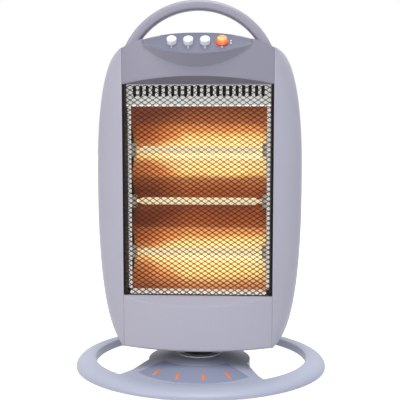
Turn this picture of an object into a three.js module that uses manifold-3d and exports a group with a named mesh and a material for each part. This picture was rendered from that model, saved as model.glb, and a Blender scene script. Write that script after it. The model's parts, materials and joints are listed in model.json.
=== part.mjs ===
// Halogen heater on an oscillating stand, modelled as an assembly of separate pieces.
// Millimetres, +Z up, the front faces -Y, origin at the centre of the base on the floor.
import * as THREE from 'three';
import { mergeVertices } from 'three/addons/utils/BufferGeometryUtils.js';
import Module from 'manifold-3d';

const wasm = await Module();
wasm.setup();

// ---------------------------------------------------------------- driving dimensions
const GAP = 0.3;               // clearance between pieces that meet
const WALL = 2.5;              // moulded housing wall

// head: outline seen from the front
const BODY_BOTTOM = 47;        // underside of the head above the floor
const WAIST_Z = 265;           // height of the widest point
const OUTLINE_TOP = 449;       // where the side outline closes above
const OUTLINE_LOW = 46;        // where the side outline closes below
const SEAM_X = 100;            // seams between the centre panels and the side housings
const SIDE_BULGE = 40.3;       // side housing beyond its seam at the waist
const OUTLINE_POWER = 2.4;     // roundness of the side outline
const CROWN_Z = 466;           // top of the head at its middle
const CROWN_DROP = 19;         // how far the top falls from the middle to a seam
const CROWN_POWER = 2.4;
const CROWN_SKIRT = 10;        // the top panel's edge under the crown's lowest point

// head: plan
const FACE_Y = -45;            // plane of the grille and of the seams
const BULGE = 23;              // how far the centre panels bow out in front of it
const REAR_Y = 48;             // outside of the rear cover
const TOP_PANEL_REAR = 30;     // where the top panel ends and the rear cover starts

// window between the two centre panels
const WINDOW_LOW = 118;
const WINDOW_TOP = 400;
const TOP_LEDGE_RISE = 0.42;   // slope of the ledge over the window
const LOW_LEDGE_FALL = 0.42;   // slope of the ledge under the window

// control visor on the top panel
const VISOR_HALF = 72;         // half length of the visor
const VISOR_REACH = 13;        // how far its lip stands in front of the panel
const VISOR_BACK_Y = -48;      // rear edge of the sloped button field
const LIP_Z = 437.5;           // lip at the middle
const LIP_RISE = 14;           // how far the lip climbs to its ends
const CHIN_Z = 421;            // where the visor's underside meets the panel
const CHIN_RISE = 28;

// buttons and switches
const BUTTON_R = 6.5;
const BUTTON_OUT = 7;          // height of a button over the slope
const BUTTON_PITCH = 21.5;
const BUTTON_TRAVEL = 4;
const BUTTON_CLEAR = 0.4;
const BUTTON_SKIRT = 3;         // how far a button reaches under the panel's wall
const SWITCH_SIZE = [17, 17, 14];
const SWITCH_SEAT = 1.3;        // room under the slope, which is slightly twisted

// carrying handle
const HANDLE_HALF = 102;       // half width of its centre line, an ellipse
const HANDLE_OVER = 44;        // top of the handle over the crown
const HANDLE_SINK = 61;        // centre of the ellipse under the crown
const HANDLE_THICK = 14;
const HANDLE_DEPTH = 20;
const HANDLE_Y = -31;

// grille, an expanded metal sheet drawn at a coarse pitch
const GRILLE_T = 1.4;
const GRILLE_RIM = 3;
const GRILLE_COLUMNS = 8;
const GRILLE_ROWS = 13;
const STRAND = 1.8;

// heating tubes and reflector
const TUBE_LOW_Z = 171;
const TUBE_PITCH = 70.5;
const TUBE_R = 5;
const TUBE_HALF = 86;
const TUBE_Y = -3;
const TROUGH_DEPTH = 30;
const REFLECTOR_Y = -14;       // front edge of the troughs
const SHEET = 1.2;
const REFLECTOR_LOW = TUBE_LOW_Z - TUBE_PITCH / 2 - 14.75;      // flat margins under and over the troughs
const REFLECTOR_TOP = TUBE_LOW_Z + TUBE_PITCH * 2.5 + 23.75;
const HOLDER_SIZE = [9, 14, 18];
const BRACKET_X = 97;          // inner face of each end bracket

// vent plate over the reflector
const VENT_Y = -24;
const VENT_SLOTS = 21;
const VENT_PITCH = 8.6;
const VENT_WIDTH = 4.6;
const VENT_LOW = REFLECTOR_TOP + 13;
const VENT_TOP = VENT_LOW + 15;
const PLATE_TOP = VENT_TOP + 11;

// vents in the rear cover
const REAR_VENT_ROWS = [150, 330];
const REAR_VENT_L = 55;
const REAR_VENT_W = 4;
const REAR_VENT_PITCH = 12;
const REAR_VENT_COUNT = 13;

// base: an oval ring with a wide opening, a round hub, a front wedge and a rear spoke
const REST_SWING = 5.4;        // degrees that the head is turned on the base at rest
const RING_BACK = 34;          // the ring's centre lies this far behind the swivel
const BASE_A = 179;
const BASE_B = 162;
const HOLE_A = 152;            // the opening is an ellipse too, set a little further back
const HOLE_B = 137;
const HOLE_BACK = 41;
const RIM_H = 6;
const RIDGE_Z = 14;
const RING_INNER_Z = 12.5;
const FOOT_T = 1.5;
const FOOT_R = 7;
const HUB_R = 71;
const HUB_TOP = 28;
const HUB_SHOULDER_R = 40;     // the hub is flat inside this radius and falls outside it
const HUB_FALL = 0.27;         // slope of the hub and wedge beyond the shoulder
const WEDGE_NEAR = 57;         // half width of the wedge at the hub centre line
const WEDGE_SPREAD = 0.62;     // how fast it widens towards the front
const SPOKE_HALF = 44;         // half width of the rear spoke
const INSET_NEAR_R = 55;
const INSET_FAR_R = HOLE_B - HOLE_BACK - 1;
const INSET_ANGLE = 52;        // half angle of the fan-shaped inset, degrees
const INSET_T = 1.6;
const MARK_COUNT = 4;
const MARK_STEP = 24;          // degrees between marks
const MARK_R = 82;             // swivel to the middle of a mark
const MARK_L = 17.5;
const MARK_W = 5.6;

// swivel and swing drive
const WASHER_R = 32;
const WASHER_T = 2;
const POST_R = 8;
const POST_FLANGE = 8;          // how far the post's flange stands out under the hub
const POST_FLANGE_T = 4;
const BOSS_R = 13;              // round end of the slotted arm
const NECK_R = 22;
const FLOOR_T = 3;
const NUT_R = 14;
const NUT_H = 5;
const ARM_T = 3;
const ARM_HALF = 6.2;
const CRANK_OFFSET = 24;       // motor shaft to swivel axis
const CRANK_THROW = 13.8;      // crank pin to motor shaft
const CRANK_RATIO = -2.9;      // crank turn for each turn of the head
const CRANK_R = 17;
const CRANK_T = 3;
const PIN_R = 2.2;
const PIN_CLEAR = 1.3;         // the slot's room beside the pin
const MOTOR_R = 24;
const MOTOR_H = 17;
const MOTOR_EAR = 35;

// tip-over switch
const PLUNGER_R = 5;
const PLUNGER_Y = 42;
const PLUNGER_H = 12;

// ---------------------------------------------------------------- helpers
const rad = THREE.MathUtils.degToRad;

function solid(geometry) {
  const g = geometry.clone();
  g.deleteAttribute('normal');
  g.deleteAttribute('uv');
  const m = mergeVertices(g, 1e-4);
  return new wasm.Manifold(new wasm.Mesh({
    numProp: 3,
    vertProperties: new Float32Array(m.attributes.position.array),
    triVerts: new Uint32Array(m.index.array),
  }));
}

function geometryOf(body) {
  const mesh = body.getMesh();
  const g = new THREE.BufferGeometry();
  g.setAttribute('position', new THREE.BufferAttribute(new Float32Array(mesh.vertProperties), 3));
  g.setIndex(new THREE.BufferAttribute(new Uint32Array(mesh.triVerts), 1));
  g.computeVertexNormals();
  return g;
}

function box(x0, x1, y0, y1, z0, z1) {
  const g = new THREE.BoxGeometry(x1 - x0, y1 - y0, z1 - z0);
  return solid(g.translate((x0 + x1) / 2, (y0 + y1) / 2, (z0 + z1) / 2));
}

function outline(points) {
  return new THREE.Shape(points.map(([a, b]) => new THREE.Vector2(a, b)));
}

function prismZ(shape, z0, z1, curveSegments = 12) {
  const g = new THREE.ExtrudeGeometry(shape, { depth: z1 - z0, bevelEnabled: false, curveSegments });
  return solid(g.translate(0, 0, z0));
}

// the outline is given as (y, z) and runs along X
function prismX(points, x0, x1) {
  const g = new THREE.ExtrudeGeometry(outline(points), { depth: x1 - x0, bevelEnabled: false });
  g.applyMatrix4(new THREE.Matrix4().makeBasis(
    new THREE.Vector3(0, 1, 0), new THREE.Vector3(0, 0, 1), new THREE.Vector3(1, 0, 0)));
  return solid(g.translate(x0, 0, 0));
}

// the outline is given as (x, z) and runs along Y
function prismY(shape, y0, y1, curveSegments = 12) {
  const g = new THREE.ExtrudeGeometry(shape, { depth: y1 - y0, bevelEnabled: false, curveSegments });
  g.rotateX(Math.PI / 2);
  return solid(g.translate(0, y1, 0));
}

function cylinder(r, z0, z1, x = 0, y = 0, sides = 32, rTop = r) {
  const g = new THREE.CylinderGeometry(rTop, r, z1 - z0, sides);
  g.rotateX(Math.PI / 2);
  return solid(g.translate(x, y, (z0 + z1) / 2));
}

function cylinderX(r, x0, x1, y, z, sides = 20) {
  const g = new THREE.CylinderGeometry(r, r, x1 - x0, sides);
  g.rotateZ(Math.PI / 2);
  return solid(g.translate((x0 + x1) / 2, y, z));
}

function lathe(profile, segments = 32) {
  const g = new THREE.LatheGeometry(profile.map(([r, z]) => new THREE.Vector2(r, z)), segments);
  g.rotateX(Math.PI / 2);
  return solid(g);
}

// closed skin over rows of points, each row one convex section
function loft(sections) {
  const n = sections[0].length;
  const position = [];
  const index = [];
  for (const row of sections) for (const p of row) position.push(...p);
  for (let s = 0; s + 1 < sections.length; s++) {
    for (let i = 0; i < n; i++) {
      const a = s * n + i;
      const b = s * n + (i + 1) % n;
      index.push(a, b, b + n, a, b + n, a + n);
    }
  }
  const last = (sections.length - 1) * n;
  for (let i = 1; i + 1 < n; i++) {
    index.push(0, i + 1, i);
    index.push(last, last + i, last + i + 1);
  }
  const g = new THREE.BufferGeometry();
  g.setAttribute('position', new THREE.Float32BufferAttribute(position, 3));
  g.setIndex(index);
  return solid(g);
}

const root = new THREE.Group();
root.position.y = -RING_BACK;    // the frame stands at the middle of the ring, not at the swivel
const baseGroup = new THREE.Group();
baseGroup.rotation.z = rad(-REST_SWING);
root.add(baseGroup);

function part(name, body, finish, group = root) {
  const geometry = body.isBufferGeometry ? body : geometryOf(body);
  const mesh = new THREE.Mesh(geometry, finish);
  mesh.name = name;
  group.add(mesh);
  return mesh;
}

function finish(color, roughness, metalness = 0) {
  return new THREE.MeshStandardMaterial({ color, roughness, metalness, side: THREE.FrontSide });
}

const LIGHT_GREY = finish(0xb4b4c4, 0.42);
const PANEL_GREY = finish(0x9290a0, 0.42);
const INSET_GREY = finish(0x8990a3, 0.5);
const HANDLE_GREY = finish(0xa5a3b4, 0.38);
const BLACK_PLASTIC = finish(0x26262a, 0.6);
const RUBBER = finish(0x1c1c1e, 0.9);
const BRIGHT_STEEL = finish(0xe8e8ea, 0.2, 1);
const ZINC_STEEL = finish(0xb9bbc0, 0.4, 1);
const GOLD_REFLECTOR = finish(0xe6b070, 0.25, 1);
const CHROME = finish(0xdadada, 0.12, 1);
const QUARTZ = finish(0xffe2a8, 0.1);
const CERAMIC = finish(0xece7dc, 0.6);
const WHITE_BUTTON = finish(0xf6f5f8, 0.3);
const ORANGE_BUTTON = finish(0xf58a2c, 0.3);
const RED_COLLAR = finish(0xd0401a, 0.35);
const MARK_ORANGE = finish(0xf29460, 0.4);

// ---------------------------------------------------------------- head envelope
function halfWidth(z) {
  const span = z > WAIST_Z ? OUTLINE_TOP - WAIST_Z : WAIST_Z - OUTLINE_LOW;
  const t = Math.min(1, Math.abs(z - WAIST_Z) / span);
  return SEAM_X + SIDE_BULGE * Math.pow(1 - Math.pow(t, OUTLINE_POWER), 1 / OUTLINE_POWER);
}

// the centre panels bow out on one arc between the seams
const BOW_R = (SEAM_X * SEAM_X + BULGE * BULGE) / (2 * BULGE);
function frontY(x) {
  return FACE_Y - (Math.sqrt(BOW_R * BOW_R - x * x) - (BOW_R - BULGE));
}

function crownZ(x) {
  return CROWN_Z - CROWN_DROP * Math.abs(x / SEAM_X) ** CROWN_POWER;
}

// one plan section at height z, pulled in by the wall on every side
function section(z, inset) {
  const side = Math.max(0.6, halfWidth(z) - SEAM_X);
  const edge = SEAM_X + side - Math.min(inset, side * 0.6 + inset * 0.4);
  const slope = SEAM_X / (BOW_R - BULGE);
  const reach = (edge - SEAM_X) * 0.55;
  const front = FACE_Y + inset;
  const rear = REAR_Y - inset;
  const corner = new THREE.CubicBezierCurve(
    new THREE.Vector2(SEAM_X, front),
    new THREE.Vector2(SEAM_X + reach, front + slope * reach),
    new THREE.Vector2(edge, front / 2),
    new THREE.Vector2(edge, 0));
  const heel = new THREE.CubicBezierCurve(
    new THREE.Vector2(edge, 0),
    new THREE.Vector2(edge, rear / 2),
    new THREE.Vector2(SEAM_X + reach, rear),
    new THREE.Vector2(SEAM_X, rear));
  const right = [];
  for (let i = 1; i <= 5; i++) right.push([SEAM_X * i / 5, frontY(SEAM_X * i / 5) + inset]);
  for (const p of corner.getPoints(6).slice(1)) right.push([p.x, p.y]);
  for (const p of heel.getPoints(5).slice(1)) right.push([p.x, p.y]);
  const left = right.map(([x, y]) => [-x, y]).reverse();
  return [[0, frontY(0) + inset], ...right, ...left].map(([x, y]) => [x, y, z]);
}

function envelope(inset) {
  const levels = [];
  const low = BODY_BOTTOM + inset;
  for (let i = 0; i <= 7; i++) levels.push(WAIST_Z - (WAIST_Z - low) * Math.cos(rad(90 * i / 7)));
  for (let i = 1; i <= 7; i++) levels.push(WAIST_Z + (OUTLINE_TOP - WAIST_Z) * Math.sin(rad(90 * i / 7)));
  levels.push(CROWN_Z + 2 * WALL);
  const crown = new THREE.Shape();
  const reach = SEAM_X + SIDE_BULGE + 10;
  crown.moveTo(-reach, BODY_BOTTOM - 10);
  crown.lineTo(reach, BODY_BOTTOM - 10);
  for (let i = 8; i >= -8; i--) crown.lineTo(reach * i / 8, crownZ(reach * i / 8) - inset);
  return loft(levels.map((z) => section(z, inset))).intersect(prismY(crown, -reach, reach));
}

const outer = envelope(0);
const inner = envelope(WALL);

const FAR = 250;                 // past everything in plan
const SKY = 600;                 // over everything
const seamGap = GAP / 2;
const band = box(-SEAM_X + seamGap, SEAM_X - seamGap, -FAR, FAR, 0, SKY);

// ---------------------------------------------------------------- side housings
const shell = outer.subtract(inner);
for (const [name, side] of [['left_side_housing', -1], ['right_side_housing', 1]]) {
  const near = SEAM_X + seamGap;
  const half = side > 0 ? box(near, FAR, -FAR, FAR, 0, SKY) : box(-FAR, -near, -FAR, FAR, 0, SKY);
  part(name, shell.intersect(half), LIGHT_GREY);
}

// ---------------------------------------------------------------- top panel with its visor
function visorEdges(x, inset) {
  const s = Math.min(1, Math.abs(x) / VISOR_HALF);
  const face = frontY(x) + inset;
  const back = [VISOR_BACK_Y, crownZ(x) - inset * 1.45];
  const lip = [face - VISOR_REACH * (1 - s * s), LIP_Z + LIP_RISE * s * s - inset * 0.2];
  const chin = [face + 0.5, CHIN_Z + CHIN_RISE * s * s + inset];
  return { back, lip, chin };
}

function visor(inset) {
  const rows = [];
  const half = VISOR_HALF - 2 - inset;
  for (let i = -6; i <= 6; i++) {
    const x = half * i / 6;
    const { back, lip, chin } = visorEdges(x, inset);
    const depth = VISOR_BACK_Y + 6;
    rows.push([[x, back[0], back[1]], [x, lip[0], lip[1]], [x, chin[0], chin[1]],
      [x, depth, chin[1]], [x, depth, back[1]]]);
  }
  return loft(rows);
}

// everything above the sloped button field
function aboveSlope(inset) {
  const rows = [];
  for (let i = -6; i <= 6; i++) {
    const x = VISOR_HALF * i / 6;
    const { back, lip } = visorEdges(x, inset);
    const run = lip[0] - back[0];
    const out = [back[0] + run * 3, back[1] + (lip[1] - back[1]) * 3];
    rows.push([[x, back[0], back[1]], [x, back[0], SKY], [x, out[0], SKY], [x, out[0], out[1]]]);
  }
  return loft(rows);
}

function slopeFrame(x) {
  const { back, lip } = visorEdges(x, 0);
  const across = new THREE.Vector3(1, 0, 0);
  const upSlope = new THREE.Vector3(0, back[0] - lip[0], back[1] - lip[1]).normalize();
  const normal = new THREE.Vector3().crossVectors(across, upSlope);
  const mid = new THREE.Vector3(x, (back[0] + lip[0]) / 2, (back[1] + lip[1]) / 2);
  return new THREE.Matrix4().makeBasis(across, upSlope, normal).setPosition(mid);
}

const buttonX = [-1.5, -0.5, 0.5, 1.5].map((k) => k * BUTTON_PITCH);
const buttonFrame = slopeFrame(BUTTON_PITCH);   // all four buttons share one direction

function onSlope(geometry, x) {
  const frame = slopeFrame(x);
  const place = new THREE.Matrix4().extractRotation(buttonFrame).setPosition(
    new THREE.Vector3().setFromMatrixPosition(frame));
  return solid(geometry.applyMatrix4(place));
}

function upright(r, z0, z1, sides = 24, rTop = r) {
  return new THREE.CylinderGeometry(rTop, r, z1 - z0, sides).rotateX(Math.PI / 2)
    .translate(0, 0, (z0 + z1) / 2);
}

const ledgeAt = (y, lift) => WINDOW_TOP + lift + TOP_LEDGE_RISE * (FACE_Y - y);
const skirtZ = CROWN_Z - CROWN_DROP - CROWN_SKIRT;
const topZone = prismX([[-FAR, ledgeAt(-FAR, 0)], [FACE_Y, WINDOW_TOP], [FACE_Y + 3, WINDOW_TOP],
  [FACE_Y + 3, skirtZ], [TOP_PANEL_REAR, skirtZ], [TOP_PANEL_REAR, SKY], [-FAR, SKY]], -FAR, FAR);
const topInside = prismX([[-FAR, ledgeAt(-FAR, WALL)], [FACE_Y, WINDOW_TOP + WALL],
  [TOP_PANEL_REAR + 1, WINDOW_TOP + WALL], [TOP_PANEL_REAR + 1, SKY + 1], [-FAR, SKY + 1]], -FAR, FAR);

let topPanel = outer.intersect(topZone).add(visor(0)).subtract(aboveSlope(0));
topPanel = topPanel.subtract(inner.add(visor(WALL)).subtract(aboveSlope(WALL)).intersect(topInside));
topPanel = topPanel.intersect(band);
for (const x of buttonX) topPanel = topPanel.subtract(onSlope(upright(BUTTON_R + BUTTON_CLEAR, -12, 12), x));
part('top_panel', topPanel, PANEL_GREY);

// ---------------------------------------------------------------- buttons and switches
buttonX.forEach((x, i) => {
  const last = i === buttonX.length - 1;
  const profile = [[0, -WALL - BUTTON_SKIRT], [BUTTON_R, -WALL - BUTTON_SKIRT], [BUTTON_R, BUTTON_OUT - 1.2],
    [BUTTON_R - 1.2, BUTTON_OUT], [BUTTON_R * 0.5, BUTTON_OUT - 0.5], [0, BUTTON_OUT - 0.6]];
  const cap = new THREE.LatheGeometry(profile.map(([r, z]) => new THREE.Vector2(r, z)), 20);
  part(last ? 'swing_button' : `heat_button_${i + 1}`, onSlope(cap.rotateX(Math.PI / 2), x),
    last ? ORANGE_BUTTON : WHITE_BUTTON);
  // the switch has a sleeve round the button's skirt that seats under the slope
  const [w, l, h] = SWITCH_SIZE;
  const floorLevel = -WALL - BUTTON_SKIRT - BUTTON_TRAVEL - GAP;
  const sleeveTop = -WALL - SWITCH_SEAT;
  const bore = BUTTON_R + BUTTON_CLEAR;
  const block = new THREE.BoxGeometry(w, l, sleeveTop - floorLevel + h)
    .translate(0, 0, (sleeveTop + floorLevel - h) / 2);
  part(`push_switch_${i + 1}`, onSlope(block, x)
    .subtract(onSlope(upright(bore, floorLevel, 0, 20), x)), BLACK_PLASTIC);
  if (last) {
    const r = BUTTON_R + BUTTON_CLEAR;
    const seat = 1;      // clears the slight twist of the slope round the button
    const ring = [[r, seat], [r + 2, seat], [r + 2, seat + 0.6], [r + 1.4, seat + 1.6],
      [r, seat + 1.6], [r, seat]];
    const collar = new THREE.LatheGeometry(ring.map(([a, b]) => new THREE.Vector2(a, b)), 20);
    part('swing_button_collar', onSlope(collar.rotateX(Math.PI / 2), x), RED_COLLAR);
  }
});

// ---------------------------------------------------------------- lower panel, rear cover, floor
const fallAt = (y, drop) => WINDOW_LOW - drop - LOW_LEDGE_FALL * (FACE_Y - y);
const lowZone = prismX([[-FAR, fallAt(-FAR, 0)], [-FAR, 0], [FACE_Y + 3, 0],
  [FACE_Y + 3, WINDOW_LOW], [FACE_Y, WINDOW_LOW]], -FAR, FAR);
const lowInside = prismX([[-FAR, fallAt(-FAR, WALL)], [-FAR, -1], [FACE_Y + 4, -1],
  [FACE_Y + 4, WINDOW_LOW - WALL], [FACE_Y, WINDOW_LOW - WALL]], -FAR, FAR);
part('lower_panel', outer.intersect(lowZone).subtract(inner.intersect(lowInside)).intersect(band),
  LIGHT_GREY);

let rearCover = shell.intersect(band).intersect(box(-FAR, FAR, TOP_PANEL_REAR + GAP, FAR, 0, SKY));
for (const z of REAR_VENT_ROWS) {
  for (let i = 0; i < REAR_VENT_COUNT; i++) {
    const x = (i - (REAR_VENT_COUNT - 1) / 2) * REAR_VENT_PITCH;
    rearCover = rearCover.subtract(
      box(x - REAR_VENT_W / 2, x + REAR_VENT_W / 2, REAR_Y - 10, REAR_Y + 10, z, z + REAR_VENT_L));
  }
}
const GLAND = { x: -62, z: 72, hole: 6.5 };
rearCover = rearCover.subtract(solid(new THREE.CylinderGeometry(GLAND.hole, GLAND.hole, 20, 24)
  .translate(GLAND.x, REAR_Y, GLAND.z)));
part('rear_cover', rearCover, LIGHT_GREY);

const glandProfile = [[3.5, -6], [GLAND.hole - GAP, -6], [GLAND.hole - GAP, GAP], [10, GAP], [9, 3], [6, 9],
  [3.5, 9], [3.5, -6]];
const gland = new THREE.LatheGeometry(glandProfile.map(([r, y]) => new THREE.Vector2(r, y)), 24);
part('cord_inlet', solid(gland.translate(GLAND.x, REAR_Y, GLAND.z)), BLACK_PLASTIC);

const washerTop = HUB_TOP + WASHER_T;
const floorTop = BODY_BOTTOM + FLOOR_T;
const nutTop = floorTop + GAP + NUT_H;
const armLow = nutTop + GAP;
const crankLow = armLow + ARM_T + 1;
const motorLow = crankLow + CRANK_T + GAP;
let floor = box(-SEAM_X + seamGap, SEAM_X - seamGap, FACE_Y + 3 + GAP, TOP_PANEL_REAR, BODY_BOTTOM, floorTop)
  .add(cylinder(NECK_R, washerTop + GAP, BODY_BOTTOM + 1, 0, 0, 40))
  .subtract(cylinder(POST_R + GAP, 0, SKY, 0, 0, 32));
for (const x of [-MOTOR_EAR, MOTOR_EAR]) {
  floor = floor.add(cylinder(3, floorTop - 1, motorLow, x, -CRANK_OFFSET, 12));
}
part('floor_plate', floor, ZINC_STEEL);

// ---------------------------------------------------------------- carrying handle
const handleCentre = CROWN_Z - HANDLE_SINK;
const handleRise = HANDLE_OVER + HANDLE_SINK - HANDLE_THICK / 2;
class HandlePath extends THREE.Curve {
  getPoint(t, target = new THREE.Vector3()) {
    const a = rad(18 + 144 * t);
    return target.set(HANDLE_HALF * Math.cos(a), HANDLE_Y, handleCentre + handleRise * Math.sin(a));
  }
}

function handleSections() {
  const path = new HandlePath();
  const rows = [];
  for (let i = 0; i <= 30; i++) {
    const p = path.getPoint(i / 30);
    const t = path.getTangent(i / 30);
    const n = new THREE.Vector3(t.z, 0, -t.x);
    const row = [];
    for (let k = 0; k < 14; k++) {
      const a = 2 * Math.PI * k / 14;
      const c = Math.cos(a);
      const s = Math.sin(a);
      const u = Math.sign(c) * Math.pow(Math.abs(c), 0.75) * HANDLE_THICK / 2;
      const v = Math.sign(s) * Math.pow(Math.abs(s), 0.75) * HANDLE_DEPTH / 2;
      row.push([p.x + n.x * u, p.y + v, p.z + n.z * u]);
    }
    rows.push(row);
  }
  return rows;
}
const handleClear = outer.translate([0, 0, GAP]);
part('handle', loft(handleSections()).subtract(handleClear)
  .intersect(box(-FAR, FAR, -FAR, FAR, CROWN_Z - CROWN_DROP - 8, SKY)), HANDLE_GREY);

// ---------------------------------------------------------------- grille
function grilleGeometry() {
  const x1 = SEAM_X - 2 * GAP;
  const z0 = WINDOW_LOW + 2 * GAP;
  const z1 = WINDOW_TOP - 2 * GAP;
  const sheet = outline([[-x1, z0], [x1, z0], [x1, z1], [-x1, z1]]);
  const w = 2 * (x1 - GRILLE_RIM) / GRILLE_COLUMNS;
  const h = (z1 - z0 - 2 * GRILLE_RIM) / GRILLE_ROWS;
  const hx = w / 2 - STRAND * 0.9;
  const hz = h / 2 - STRAND * 0.6;
  const addGap = (cx, cz) => sheet.holes.push(
    outlinePath([[cx - hx, cz], [cx, cz - hz], [cx + hx, cz], [cx, cz + hz]]));
  for (let r = 0; r < GRILLE_ROWS; r++) {
    for (let c = 0; c < GRILLE_COLUMNS; c++) {
      const cx = -x1 + GRILLE_RIM + w * (c + 0.5);
      const cz = z0 + GRILLE_RIM + h * (r + 0.5);
      addGap(cx, cz);
      if (r + 1 < GRILLE_ROWS && c + 1 < GRILLE_COLUMNS) addGap(cx + w / 2, cz + h / 2);
    }
  }
  return prismY(sheet, FACE_Y + GAP, FACE_Y + GAP + GRILLE_T);
}

function outlinePath(points) {
  return new THREE.Path(points.map(([a, b]) => new THREE.Vector2(a, b)));
}
part('grille', grilleGeometry(), BRIGHT_STEEL);

// ---------------------------------------------------------------- reflector, brackets and tubes
function reflectorProfile() {
  const front = [];
  const low = TUBE_LOW_Z - TUBE_PITCH / 2;
  front.push([REFLECTOR_Y, REFLECTOR_LOW]);
  for (let k = 0; k < 3; k++) {
    for (let i = 0; i <= 10; i++) {
      const t = i / 10;
      const y = REFLECTOR_Y + TROUGH_DEPTH * (1 - Math.pow(Math.abs(2 * t - 1), 2.2));
      front.push([y, low + TUBE_PITCH * (k + t * 0.96 + 0.02)]);
    }
  }
  front.push([REFLECTOR_Y, REFLECTOR_TOP]);
  const back = front.map(([y, z]) => [y + SHEET * 1.6, z]).reverse();
  return [...front, ...back];
}
part('reflector', prismX(reflectorProfile(), -BRACKET_X + GAP, BRACKET_X - GAP), GOLD_REFLECTOR);

for (const [name, side] of [['left_bracket', -1], ['right_bracket', 1]]) {
  const x0 = side > 0 ? BRACKET_X : -BRACKET_X - SHEET;
  const back = TOP_PANEL_REAR - GAP;
  const lipped = FACE_Y + 3 + GAP;                  // clears the lips of the centre panels
  const flush = FACE_Y + GRILLE_T + 2 * GAP;        // backs the grille between them
  part(name, prismX([[lipped, floorTop], [back, floorTop], [back, PLATE_TOP], [lipped, PLATE_TOP],
    [lipped, WINDOW_TOP - GAP], [flush, WINDOW_TOP - GAP], [flush, WINDOW_LOW + GAP],
    [lipped, WINDOW_LOW + GAP]], x0, x0 + SHEET), ZINC_STEEL);
}

for (let k = 0; k < 3; k++) {
  const z = TUBE_LOW_Z + TUBE_PITCH * k;
  part(`halogen_tube_${k + 1}`, cylinderX(TUBE_R, -TUBE_HALF, TUBE_HALF, TUBE_Y, z, 16), QUARTZ);
  for (const [label, side] of [['left', -1], ['right', 1]]) {
    const [w, d, h] = HOLDER_SIZE;
    const a = side * (TUBE_HALF + GAP);
    const b = side * (BRACKET_X - GAP);
    const holder = box(Math.min(a, b), Math.max(a, b), TUBE_Y - d / 2, TUBE_Y + d / 2, z - h / 2, z + h / 2);
    part(`tube_holder_${k + 1}_${label}`, holder, CERAMIC);
  }
}

let vents = box(-BRACKET_X + GAP, BRACKET_X - GAP, VENT_Y, VENT_Y + SHEET, REFLECTOR_TOP + GAP, PLATE_TOP)
  .add(box(-BRACKET_X + GAP, BRACKET_X - GAP, VENT_Y, REFLECTOR_Y + 2 * SHEET, REFLECTOR_TOP + GAP,
    REFLECTOR_TOP + GAP + SHEET));
for (let i = 0; i < VENT_SLOTS; i++) {
  const x = (i - (VENT_SLOTS - 1) / 2) * VENT_PITCH;
  vents = vents.subtract(
    box(x - VENT_WIDTH / 2, x + VENT_WIDTH / 2, VENT_Y - 5, VENT_Y + 5, VENT_LOW, VENT_TOP));
}
part('vent_plate', vents, BRIGHT_STEEL);

// ---------------------------------------------------------------- base
// point of the ring in plan: share 0 is its outer edge and 1 the edge of the opening
function ringPoint(angle, share) {
  const back = RING_BACK + (HOLE_BACK - RING_BACK) * share;
  const x = (BASE_A + (HOLE_A - BASE_A) * share) * Math.cos(angle);
  const y = (BASE_B + (HOLE_B - BASE_B) * share) * Math.sin(angle) + back;
  // the ring is set out square to the head at rest, so it is turned back in the base's own axes
  const turn = rad(REST_SWING);
  return [x * Math.cos(turn) - y * Math.sin(turn), x * Math.sin(turn) + y * Math.cos(turn)];
}

function ringSweep() {
  const steps = 60;
  const profile = [[0, FOOT_T], [0, RIM_H], [0.15, RIM_H + 4], [0.45, RIDGE_Z - 1.2], [0.7, RIDGE_Z],
    [0.89, RIDGE_Z - 0.4], [1, RING_INNER_Z], [1, FOOT_T]];
  const n = profile.length;
  const position = [];
  const index = [];
  for (let i = 0; i < steps; i++) {
    for (const [share, z] of profile) position.push(...ringPoint(2 * Math.PI * i / steps, share), z);
  }
  for (let i = 0; i < steps; i++) {
    for (let k = 0; k < n; k++) {
      const a = i * n + k;
      const b = i * n + (k + 1) % n;
      const c = ((i + 1) % steps) * n + k;
      const d = ((i + 1) % steps) * n + (k + 1) % n;
      index.push(a, c, d, a, d, b);
    }
  }
  const g = new THREE.BufferGeometry();
  g.setAttribute('position', new THREE.Float32BufferAttribute(position, 3));
  g.setIndex(index);
  return solid(g);
}

const skirtTop = RING_INNER_Z - 0.2;
const skirtR = HUB_SHOULDER_R + (HUB_TOP - skirtTop) / HUB_FALL;   // where the fall ends
const coneZ = (r) => Math.max(skirtTop, HUB_TOP - HUB_FALL * Math.max(0, r - HUB_SHOULDER_R));

// cone over the hub centre, cut to the plan of the hub, wedge and spoke
function coneBody(inset) {
  const floorZ = inset ? -1 : FOOT_T;
  const far = BASE_B + RING_BACK - 4;
  const [flat, brow, fall] = [HUB_SHOULDER_R - 6, HUB_SHOULDER_R + 3, HUB_SHOULDER_R + 12];
  return lathe([[0, floorZ], [far, floorZ], [far, skirtTop - inset], [skirtR, skirtTop - inset],
    [fall, coneZ(fall) - inset], [brow, coneZ(brow) - 0.3 - inset], [flat, HUB_TOP - inset],
    [0, HUB_TOP - inset]], 40);
}

function wedgePlan(inset) {
  const at = (y) => WEDGE_NEAR - WEDGE_SPREAD * y - inset;
  return outline([[-at(0), 0], [-at(-FAR), -FAR], [at(-FAR), -FAR], [at(0), 0]]);
}

const ovalPlan = (inset) => {
  const points = [];
  for (let i = 0; i < 36; i++) {
    const [x, y] = ringPoint(2 * Math.PI * i / 36, 0.5);
    const shrink = 1 - inset / HOLE_B;
    points.push([x * shrink, y * shrink]);
  }
  return outline(points);
};

const over = HUB_TOP * 2;        // cuts of the base reach above all of it

function baseForm(inset) {
  const cone = coneBody(inset);
  const inOval = prismZ(ovalPlan(inset), -5, over);
  const hub = cone.intersect(cylinder(HUB_R - inset, -5, over, 0, 0, 40));
  const wedge = cone.intersect(prismZ(wedgePlan(inset), -5, over)).intersect(inOval);
  const spoke = cone.intersect(box(-SPOKE_HALF + inset, SPOKE_HALF - inset, 0, FAR, -5, over))
    .intersect(inOval);
  return hub.add(wedge).add(spoke);
}

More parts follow.
